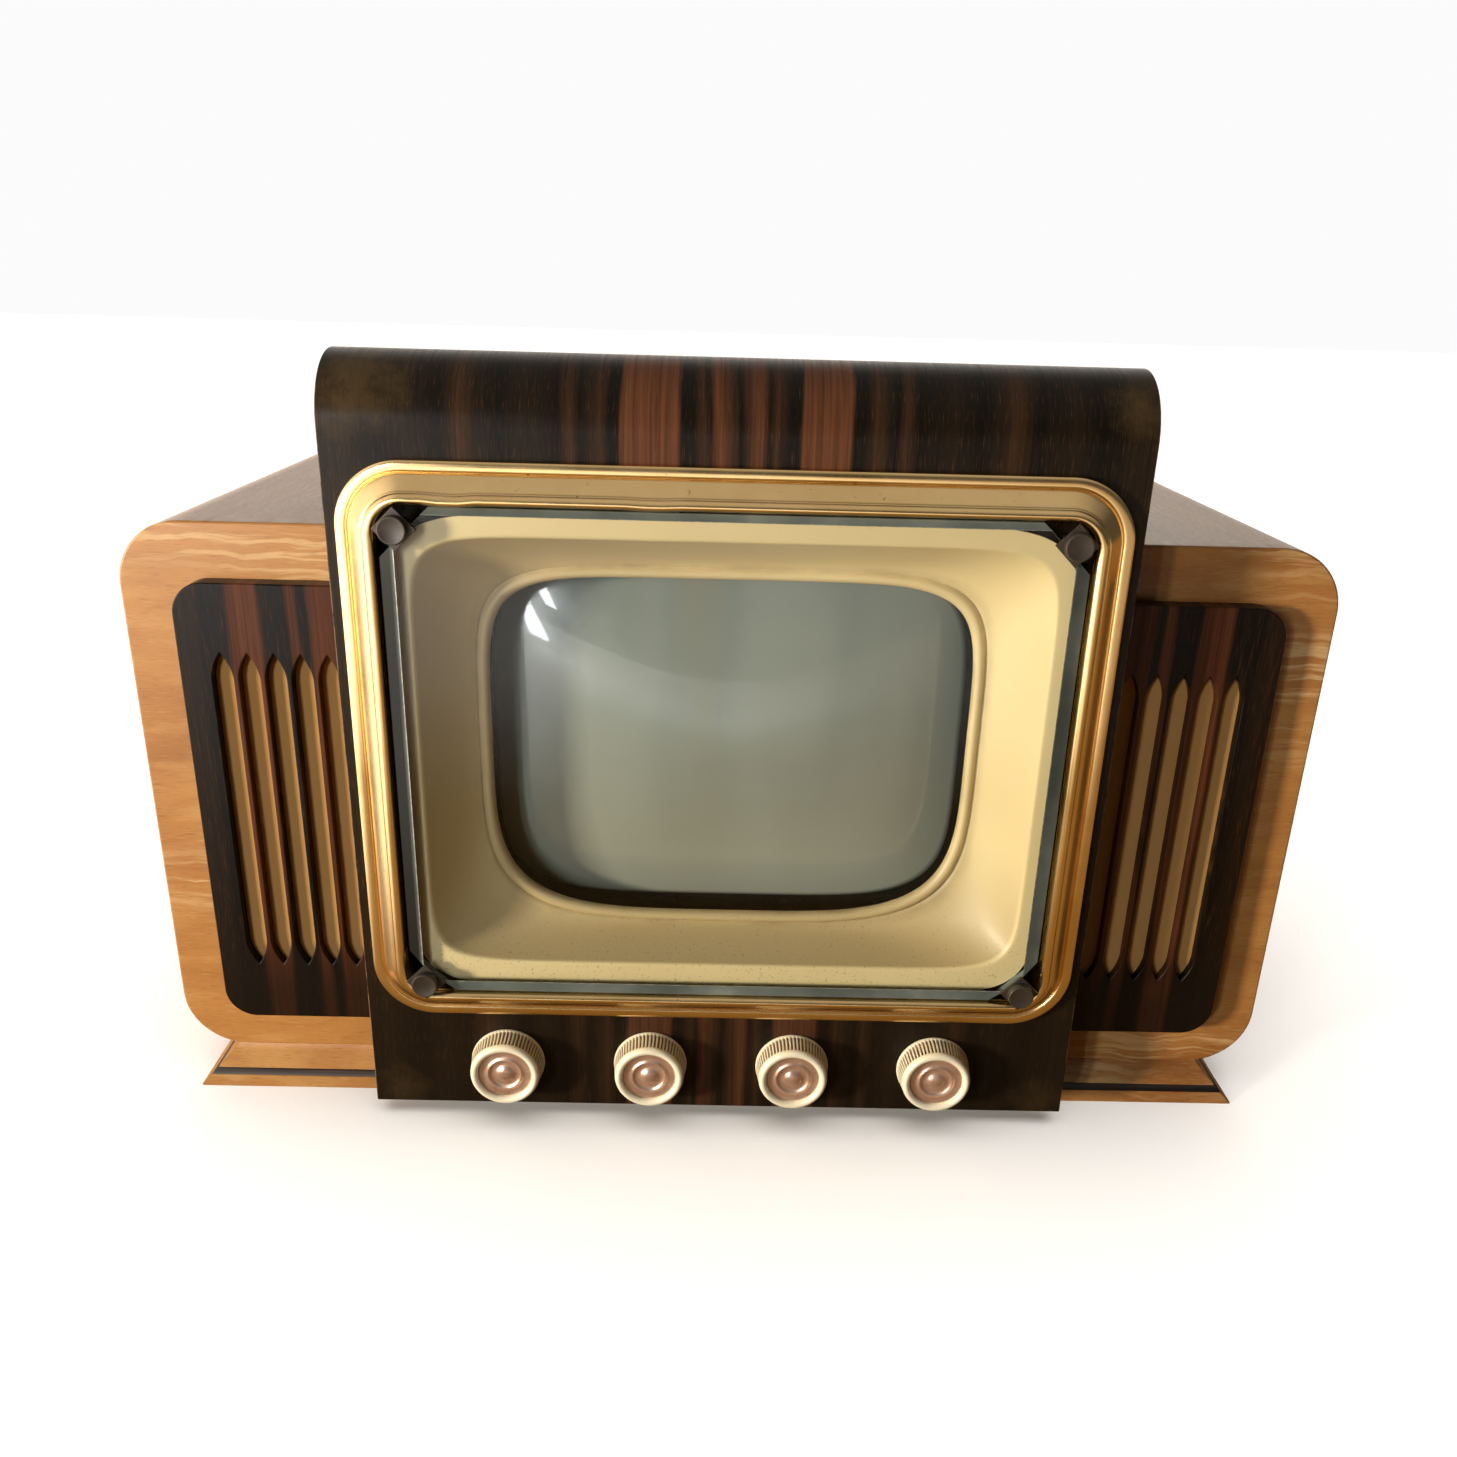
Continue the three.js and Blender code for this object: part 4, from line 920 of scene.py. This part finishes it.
def hood():
    """The fascia, its bend over the screen and the roof that runs down to the cabinet, in one board."""
    top = hood_high.z
    bend_y, bend_z = FASCIA_Y + BEND, top - BEND
    seat = shell_high.z + 0.3 * MM

    def roof_reach(distance, z):
        start_y = bend_y + distance * math.sin(SLOPE)
        start_z = bend_z + distance * math.cos(SLOPE)
        return start_y + (start_z - z) / math.tan(SLOPE)

    lean = 90 - math.degrees(SLOPE)
    nose = roof_reach(BEND, seat + 2 * MM)
    outline = [(FASCIA_Y + BOARD, hood_low.z), (FASCIA_Y, hood_low.z)]
    outline += arc(bend_y, bend_z, BEND, 180, lean, 28)
    outline += [(nose, seat + 2 * MM), (nose, seat), (roof_reach(BEND - BOARD, seat), seat)]
    outline += arc(bend_y, bend_z, BEND - BOARD, lean, 180, 28)
    shape = board(
        [outline[::-1]],
        lambda u, v, along: Vector((hood_low.x + along, u, v)),
        eased(0.7 * MM, 0.7 * MM, hood_high.x - hood_low.x),
    )
    made = piece("veneered_hood", shape, "hood", "fascia_hood")
    through = (FASCIA_Y - PAST, FASCIA_Y + BOARD + PAST)
    half, down, up = SCREEN_HOLE
    tools = [loft([superellipse(half, down, y, 9, 9, up, 96) for y in through])]
    bores = [("spindle_" + name, SPINDLE_BORE, 24) for name in CONTROLS]
    bores += [("glass_stud_" + corner, STUD_BORE, 16) for corner in CORNERS]
    for name, radius, segments in bores:
        tools.append(turned([(radius, y) for y in through], middle(name), segments))
    cut_away(made, *tools)
    even_normals(made)


# ---- screen


def corner_loop(half_x, half_z, radius, y, steps=18, along=36):
    """A loop with straight, finely divided sides and round corners, about the screen's centre."""
    quarters = ((1, 1), (-1, 1), (-1, -1), (1, -1))

    def at(quarter, turn):
        side_x, side_z = quarters[quarter % 4]
        angle = math.pi / 2 * turn
        x = side_x * (half_x - radius) + radius * math.cos(angle)
        z = side_z * (half_z - radius) + radius * math.sin(angle)
        return Vector((x, y, SCREEN.z + z))

    loop = []
    for quarter in range(4):
        loop += [at(quarter, quarter + i / steps) for i in range(steps + 1)]
        last, target = loop[-1], at(quarter + 1, quarter + 1)
        loop += [last.lerp(target, k / along) for k in range(1, along)]
    return loop


# the bezel's section, in millimetres: distance inwards and rise above the fascia
BEZEL_SECTION = (
    (0, 0.3), (0, 3.4), (0.3, 4.7), (1.0, 5.4), (2.2, 5.8), (5.4, 6.0), (6.1, 5.8), (6.6, 5.2), (6.9, 4.9),
    (7.2, 5.1), (7.4, 6.0), (7.7, 7.0), (8.4, 7.9), (10.0, 9.7), (12.0, 11.9), (14.0, 14.0), (15.6, 15.6),
    (16.4, 16.2), (16.9, 16.2), (17.2, 16.7), (17.8, 18.0), (18.8, 19.2), (20.0, 19.9), (21.4, 19.95),
    (22.6, 19.3), (23.5, 18.1), (24.0, 16.6), (24.1, 15.4), (24.3, 15.2), (24.3, 13.0), (24.3, 0.3),
)
BEZEL_BAND = 24.3
BEZEL_TOP_SPARE = 3 * MM  # the band is this much narrower along the top
BEZEL_CORNER = 36 * MM
DENTS = ((-0.147, 1.5), (-0.043, 0.8))  # along the top: place in metres and depth in millimetres
DENT_REACH = 7 * MM
RIPPLE = 0.03 * MM


def bezel():
    """The gold frame: its section swept round the screen, with two dents and faint ripples."""
    half_x, half_z = bezel_high.x, bezel_high.z - SCREEN.z
    loops = []
    for inwards, rise in BEZEL_SECTION:
        step = inwards * MM
        spare = BEZEL_TOP_SPARE * inwards / BEZEL_BAND
        radius = BEZEL_CORNER - 20 * MM * inwards / BEZEL_BAND
        loops.append(corner_loop(half_x - step, half_z - step, radius, FASCIA_Y - rise * MM))
        for point in loops[-1]:
            if point.z > SCREEN.z:
                point.z += spare * (point.z - SCREEN.z) / (half_z - step)
    for loop in loops:
        for point in loop:
            rise = FASCIA_Y - point.y
            if point.z > SCREEN.z + half_z - 0.03 and rise > 0.008:
                for x, depth in DENTS:
                    reach = (point.x - x) / DENT_REACH
                    point.z -= depth * MM * math.exp(-reach * reach) * min(1, rise / 0.02)
            ripple = RIPPLE * noise.noise(Vector((point.x * 28, point.z * 28, rise * 90)))
            if rise > 0.001:
                point.y -= ripple if rise < 0.0195 else min(0, ripple)
    piece("gold_bezel", loft(loops, ring=True), "gold", "bezel", sharp=70)


GLASS_CLIP = 27 * MM
GLASS_BEVEL = 8 * MM
GLASS_TOP_BEVEL = 3.4 * MM


def clipped(half_x, down, up, y):
    """The plate's outline: a rectangle whose corners are cut off along the same lines at any size."""
    cut_down = glass_high.x + SCREEN.z - glass_low.z - GLASS_CLIP
    cut_up = glass_high.x + glass_high.z - SCREEN.z - GLASS_CLIP
    corners = (
        (half_x, half_x - cut_down), (half_x, cut_up - half_x), (cut_up - up, up), (up - cut_up, up),
        (-half_x, cut_up - half_x), (-half_x, half_x - cut_down), (down - cut_down, -down),
        (cut_down - down, -down),
    )
    return [Vector((x, y, SCREEN.z + z)) for x, z in corners]


def plate_glass():
    half_x, down, up = glass_high.x, SCREEN.z - glass_low.z, glass_high.z - SCREEN.z
    stations = (
        (1.08, 0.0), (1.0, 0.25 * MM), (0.06, 2.9 * MM), (0.0, 3.4 * MM), (0.0, 5.6 * MM), (0.05, 6.0 * MM),
    )
    loops = []
    for share, sunk in stations:
        inward, top_inward = share * GLASS_BEVEL, share * GLASS_TOP_BEVEL
        loops.append(clipped(half_x - inward, down - inward, up - top_inward, glass_low.y + sunk))
    kinds = [2] * 8 + [1] * 8 * (len(stations) - 2) + [0, 0]
    finishes = "glass glass_edge glass_arris"
    piece("plate_glass", loft(loops), finishes, "safety_glass", kinds=kinds, sharp=20)


def mask():
    """A flat flange, a hollow slope and a rolled lip round the tube."""
    face_y, thick = mask_low.y, 2.6 * MM
    flange = (0.183, 0.1405, 0.142)  # half width, reach down and reach up
    line = (0.1713, 0.1235, 0.1296)
    lip = (0.1372, 0.1037, 0.1030)
    roll = 7 * MM  # width of the rolled lip
    deep = MASK_DEPTH - 3 * MM

    def grown(sizes, spare):
        return tuple(size + spare for size in sizes)

    front = [(flange, 9, 9, face_y)]
    for spare, sunk in ((2.2, 0.0), (1.2, 0.1), (0.4, 0.35)):
        front.append((grown(line, spare * MM), 11, 11, face_y + sunk * MM))
    steps = 26
    foot = grown(lip, roll)
    for i in range(steps + 1):
        share = 1 - i / steps
        sizes = tuple(low + (high - low) * share for low, high in zip(foot, line))
        y = face_y + 0.8 * MM + deep * (1 - share ** 1.34)
        front.append((sizes, 6 + 5 * share, 4 + 7 * share, y))
    base_y = front[-1][3]
    slope_end = len(front)
    bead = (
        (6.7, 0.5), (6.2, 0.3), (5.4, -0.8), (4.4, -1.7), (3.2, -2.1), (2.0, -1.9), (1.0, -1.1), (0.3, 0.0),
        (0.0, 1.4), (0.0, 3.0),
    )
    for out, sunk in bead:
        front.append((grown(lip, out * MM), 6, 4, base_y + sunk * MM))
    back = [(grown(lip, thick), 6, 4, base_y + 3.0 * MM)]
    for sizes, up, low, y in front[5:slope_end:4][::-1]:
        back.append((grown(sizes, thick), up, low, y + thick))
    back.append((flange, 9, 9, face_y + thick))
    loops = [superellipse(x, z, y, up, low, top) for (x, z, top), up, low, y in front + back]
    piece("cream_surround", loft(loops, ring=True), "mask", "screen_mask", sharp=50)


BULB = (
    # y behind the face, half width, half height and squareness, in millimetres
    (30, 161, 123, 5.5), (50, 160, 122, 5.2), (105, 133, 106, 3.6), (175, 90, 78, 2.5), (235, 48, 46, 2),
    (262, 26, 26, 2), (282, 18.5, 18.5, 2), (413, 18.5, 18.5, 2),
)
FACE_RADIUS = 560
FACE_HALF = (162, 124)


def picture_tube():
    stations = []
    steps = 22
    for i in range(1, steps + 1):
        share = 0.97 * i / steps
        reach = share * math.hypot(*FACE_HALF) * 0.86
        sag = FACE_RADIUS - math.sqrt(FACE_RADIUS ** 2 - reach ** 2)
        stations.append((sag, FACE_HALF[0] * share, FACE_HALF[1] * share, 2.4 + 3 * share))
    loops = []
    for sunk, half_x, half_z, power in stations + list(BULB):
        loops.append(superellipse(half_x * MM, half_z * MM, FACE_Y + sunk * MM, power, power, None, 96))
    piece("picture_tube_bulb", loft(loops), "tube", "picture_tube", sharp=60)


PLATE_REACH = 11.5 * MM  # from a clamp plate's middle to its corners
PLATE_BORE = 2.7 * MM


def stud(corner):
    """A turned stud that holds the glass, over a square clamp plate set cornerwise."""
    name = "glass_stud_" + corner
    low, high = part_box(name)
    centre = middle(name)
    radius = (high.x - low.x) / 2
    front, plate = low.y, glass_low.y - 1.6 * MM
    profile = [(0.2 * MM, front + 0.25 * MM)]
    for inward, sunk in ((1.3, 0.2), (0.9, 0), (0.5, 0.05), (0.1, 0.5), (0, 1)):
        profile.append((radius - inward * MM, front + sunk * MM))
    seat = plate - 0.2 * MM
    profile += [(radius, seat), (2.5 * MM, seat), (2.5 * MM, high.y), (0.2 * MM, high.y)]
    piece("stud_" + corner, turned(profile, centre, 56), "nickel", name)

    def around(reach, count):
        turns = [2 * math.pi * k / count for k in range(count)]
        return [(centre.x + reach * math.cos(a), centre.z + reach * math.sin(a)) for a in turns]

    outlines = [around(PLATE_REACH, 4), around(PLATE_BORE, 16)[::-1]]
    shape = board(outlines, facing(plate), eased(0.3 * MM, 0, 1.5 * MM, 2))
    even_normals(piece("clamp_plate_" + corner, shape, "nickel"))


SCREW_SEED = 5
SCREW_PROFILE = (
    # radius and rise above the cover, in millimetres
    (0.2, 0.0), (6.3, 0.0), (6.5, 0.3), (6.2, 0.9), (4.5, 1.1), (4.3, 1.4), (3.7, 2.2), (2.3, 2.8),
    (0.2, 3.0),
)
SCREW_SLOT = (0.45, 6)  # half width and half length of a screw's slot, in millimetres
SCREW_SLOT_FLOOR = 1.9 * MM
SCREW_PLACES = [(side * 0.319, z) for side in (-1, 1) for z in (0.056, 0.19, 0.334)]
SCREW_PLACES += [(-0.11, 0.352), (0.11, 0.352)]


def cover_screws():
    """Slotted round-head screws in cup washers, round the back cover."""
    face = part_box("back_cover")[1].y
    profile = [(radius * MM, face + along * MM) for radius, along in SCREW_PROFILE]
    turns = random.Random(SCREW_SEED)
    for number, (x, z) in enumerate(SCREW_PLACES):
        centre = Vector((x, 0, z))
        made = piece("cover_screw_%d" % (number + 1), turned(profile, centre, 40), "steel")
        low, high = (size * MM for size in SCREW_SLOT)
        verts, faces = box_mesh((-high, face + SCREW_SLOT_FLOOR, -low), (high, face + PAST, low))
        turn = Matrix.Rotation(turns.uniform(0, math.pi), 4, "Y")
        cut_away(made, ([turn @ vert + centre for vert in verts], faces))


# ---- knobs

RIBS = 60


def knob(name):
    low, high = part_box("knob_ring_" + name)
    centre = middle("knob_ring_" + name)
    base, back, front = (high.x - low.x) / 2, high.y, low.y
    depth = back - front

    def ribbed(radius, along, angle):
        share = (back - along) / depth
        if radius < 19 * MM or not 0.09 < share < 0.8:
            return radius
        wave = math.cos(RIBS * angle)
        groove = max(0.0, 0.35 - wave) / 1.35
        fade = min(1, (share - 0.09) / 0.05, (0.8 - share) / 0.05)
        return radius - 0.9 * MM * fade * min(1, groove * 2.2)

    stations = [(base, 0.0), (base, 0.06), (base - 0.1 * MM, 0.09)]
    for i in range(13):
        share = 0.1 + 0.7 * i / 12
        stations.append((base - (share * 1.9) * MM, share))
    rim = base - 2.0 * MM
    for out, share in (
        (0.5, 0.815), (0.45, 0.85), (0.1, 0.91), (-0.5, 0.965), (-1.3, 0.995), (-2.1, 1.0), (-2.9, 0.985),
        (-3.6, 0.95),
    ):
        stations.append((rim + out * MM, share))
    stations += [(16.4 * MM, 0.91), (16.3 * MM, 0.8), (3.3 * MM, 0.79), (3.3 * MM, 0.0)]
    profile = [(radius, back - share * depth) for radius, share in stations]
    segments = RIBS * 6
    verts, faces = turned(profile, centre, segments, ribbed)
    # a ring has no end faces: its last circle joins its first
    faces = faces[:-2] + strip((len(profile) - 1) * segments, 0, segments)
    ring, body = "knob_ring_" + name, "knob_" + name
    made = piece("knurled_ring_" + name, (verts, faces), "ivory", ring, body, sharp=60)
    darken_gaps(made, centre, back, depth, base)
    insert_disc(name, centre, front)


def darken_gaps(made, centre, back, depth, base):
    """Marks how deep in a gap between ribs each vertex is, for the browning there."""
    gap = made.data.attributes.new("gap", "FLOAT", "POINT")
    for i, vert in enumerate(made.data.vertices):
        share = (back - vert.co.y) / depth
        radius = math.hypot(vert.co.x - centre.x, vert.co.z - centre.z)
        full = base - share * 1.9 * MM
        sunk = 0.1 < share < 0.79 and radius > 18 * MM
        gap.data[i].value = min(1.0, max(0.0, (full - radius) / (0.85 * MM))) if sunk else 0.0


def insert_disc(name, centre, front):
    low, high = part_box("knob_insert_" + name)
    radius = (high.x - low.x) / 2
    heights = (
        # radius and depth behind the rim, in millimetres: a dome, a hollow, a raised ring and a flat edge
        (0.05, 0.7), (1.2, 0.75), (2.4, 0.95), (3.5, 1.3), (4.5, 1.8), (5.3, 2.4), (5.9, 2.8), (6.6, 3.0),
        (7.6, 3.05), (8.5, 2.95), (9.1, 2.6), (9.7, 2.1), (10.3, 1.9), (10.9, 2.1), (11.4, 2.6),
        (11.9, 2.85), (12.6, 2.95), (14.2, 2.9), (15.2, 2.75), (15.7, 2.6),
    )
    profile = [(r * MM, front + sunk * MM) for r, sunk in heights]
    profile += [(radius, front + 2.8 * MM), (radius, high.y), (0.05 * MM, high.y)]
    shape = turned(profile, centre, 72)
    piece("rose_disc_" + name, shape, "rose", "knob_insert_" + name, "knob_" + name)


# ---- CAD nodes that keep their shape


def dress(name, material, ease=0.0):
    """A CAD node's finish, with its sharp edges eased by a radius in metres."""
    node = frame["nodes"][name]
    node.data.materials.clear()
    node.data.materials.append(material)
    weld = node.modifiers.new("weld", "WELD")
    weld.merge_threshold = 0.00001
    if ease:
        bevel = node.modifiers.new("ease", "BEVEL")
        bevel.width = ease
        bevel.segments = 2
        bevel.limit_method = "ANGLE"
        bevel.angle_limit = math.radians(40)
        bevel.use_clamp_overlap = True
    node.data.shade_smooth()
    node.data.set_sharp_from_angle(angle=math.radians(35))
    even_normals(node, 50)


DRESSING = (
    # finish, how far sharp edges are eased in millimetres, and the nodes
    ("blond_front", 0.5, "plinth_front plinth_rear"),
    ("blond", 0.5, "plinth_left plinth_right"),
    ("inlay", 0, "plinth_inlay"),
    ("cheek", 0.8, "hood_cheek_left hood_cheek_right"),
    ("steel", 0, "tube_strap spindle_volume spindle_brightness spindle_contrast spindle_channel"),
    ("steel", 0.4, "chassis_pan"),
    ("can", 0, "smoothing_capacitor volume_pot brightness_pot contrast_pot channel_switch aerial_socket"),
    ("can", 0.3, "line_output_cage"),
    ("iron", 0, "focus_magnet loudspeaker_left loudspeaker_right"),
    ("iron", 0.8, "mains_transformer"),
    ("valve", 0, "valve_1 valve_2 valve_3"),
    ("copper", 0, "deflection_yoke"),
    ("bakelite", 0, "tube_base preset_knob_height preset_knob_hold"),
    ("bakelite", 0.5, "mains_inlet"),
    ("cone", 0, "speaker_cone_left speaker_cone_right"),
    ("fibre", 0, "neck_cup"),
    ("fibre", 0.4, "back_cover"),
)

# ---- set-up


PLACE = (-0.01108, -0.86323, 0.50303)
YAW_PITCH_ROLL = (0.90, 20.59, -1.62)  # to the right, down and clockwise, in degrees


def camera():
    yaw, pitch, roll = (math.radians(angle) for angle in YAW_PITCH_ROLL)
    forward = Vector((math.sin(yaw) * math.cos(pitch), math.cos(yaw) * math.cos(pitch), -math.sin(pitch)))
    level = Vector((math.cos(yaw), -math.sin(yaw), 0))
    down = forward.cross(level)
    right = math.cos(roll) * level + math.sin(roll) * down
    up = math.sin(roll) * level - math.cos(roll) * down
    data = bpy.data.cameras.new("camera")
    data.lens = 29.443
    data.sensor_width = 36
    data.clip_start = 0.01
    made = placed("camera", data)
    turn = Matrix((right, up, -forward)).transposed().to_4x4()
    made.matrix_world = Matrix.Translation(PLACE) @ turn
    bpy.context.scene.camera = made


def area_light(name, place, target, size, energy, colour):
    data = bpy.data.lights.new(name, "AREA")
    data.shape = "RECTANGLE"
    data.size, data.size_y = size
    data.energy = energy
    data.color = colour
    made = placed(name, data)
    made.location = place
    made.rotation_euler = (Vector(target) - Vector(place)).to_track_quat("-Z", "Y").to_euler()
    return made


def world():
    """White behind the set; for light, brighter on the left and overhead."""
    made = bpy.data.worlds.new("studio")
    bpy.context.scene.world = made
    made.use_nodes = True
    n = Nodes(made.node_tree, "Generated")
    shown = n.tree.nodes["Background"]
    shown.inputs["Color"].default_value = (0.97, 0.97, 0.97, 1)
    shown.inputs["Strength"].default_value = 1.0
    x, y, z = n.parts()
    rays = n.new("LightPath").outputs
    shiny = rays["Is Glossy Ray"]
    matt_side, shiny_side = 0.06, 2.2  # how much of each a matt and a shiny surface sees
    matt_top, shiny_top = 0.15, 1.0
    side = n.times(n.span(x, -1.0, -0.3, 0.75, 0.04), n.span(shiny, 0, 1, matt_side, shiny_side))
    top = n.times(n.span(z, 0.35, 0.95, 0.0, 0.45), n.span(shiny, 0, 1, matt_top, shiny_top))
    back = n.span(y, 0.45, 0.95, 0.0, 1.3)
    warmth = n.mix(shiny, (1.0, 0.78, 0.54, 1), (1.0, 0.93, 0.84, 1))
    glow = n.new("Background", warmth, n.plus(n.plus(side, top), back))
    both = n.new("MixShader", rays["Is Camera Ray"], glow.outputs[0], shown.outputs[0])
    n.feed(n.tree.nodes["World Output"].inputs["Surface"], both.outputs[0])


def studio():
    reach = 12
    corners = [(-reach, -reach, 0), (reach, -reach, 0), (reach, reach, 0), (-reach, reach, 0)]
    mesh = mesh_from("floor", corners, [(0, 1, 2, 3)])
    mesh.materials.append(floor_paint())
    floor = placed("floor", mesh)
    warm = (1.0, 0.87, 0.7)
    area_light("key", (-2.83, -1.85, 0.5), (0.05, -0.22, 0.22), (0.4, 0.4), 122, warm)
    cool = (0.93, 0.96, 1.0)
    windows = (
        area_light("window", (-1.0, -1.7, 0.45), (-0.05, -0.2, 0.25), (0.13, 0.75), 8, cool),
        area_light("far_window", (-0.8, -1.8, 0.68), (-0.05, -0.2, 0.25), (0.07, 0.4), 3, cool),
    )
    # the windows would glare in the cabinet's varnished top, seen from behind
    spared = bpy.data.collections.new("spared_by_windows")
    spared.objects.link(bpy.data.objects["veneered_cabinet"])
    spared.collection_objects[0].light_linking.link_state = "EXCLUDE"
    for window in windows:
        window.light_linking.receiver_collection = spared
    sun = bpy.data.lights.new("overhead", "SUN")
    sun.energy = 3.5
    sun.angle = math.radians(80)
    sun.color = (1.0, 0.98, 0.96)
    overhead = placed("overhead", sun)
    lit = bpy.data.collections.new("lit_from_overhead")
    lit.objects.link(floor)
    overhead.light_linking.receiver_collection = lit
    scene = bpy.context.scene
    scene.view_settings.view_transform = "Standard"
    scene.view_settings.look = "None"


cabinet()
front_band()
for hand in HANDS:
    grille_board(hand)
    grille_cloth(hand)
hood()
bezel()
plate_glass()
mask()
picture_tube()
for corner in CORNERS:
    stud(corner)
cover_screws()
for name in CONTROLS:
    knob(name)
for finish, ease, names in DRESSING:
    for name in names.split():
        dress(name, M[finish], ease * MM)
camera()
world()
studio()
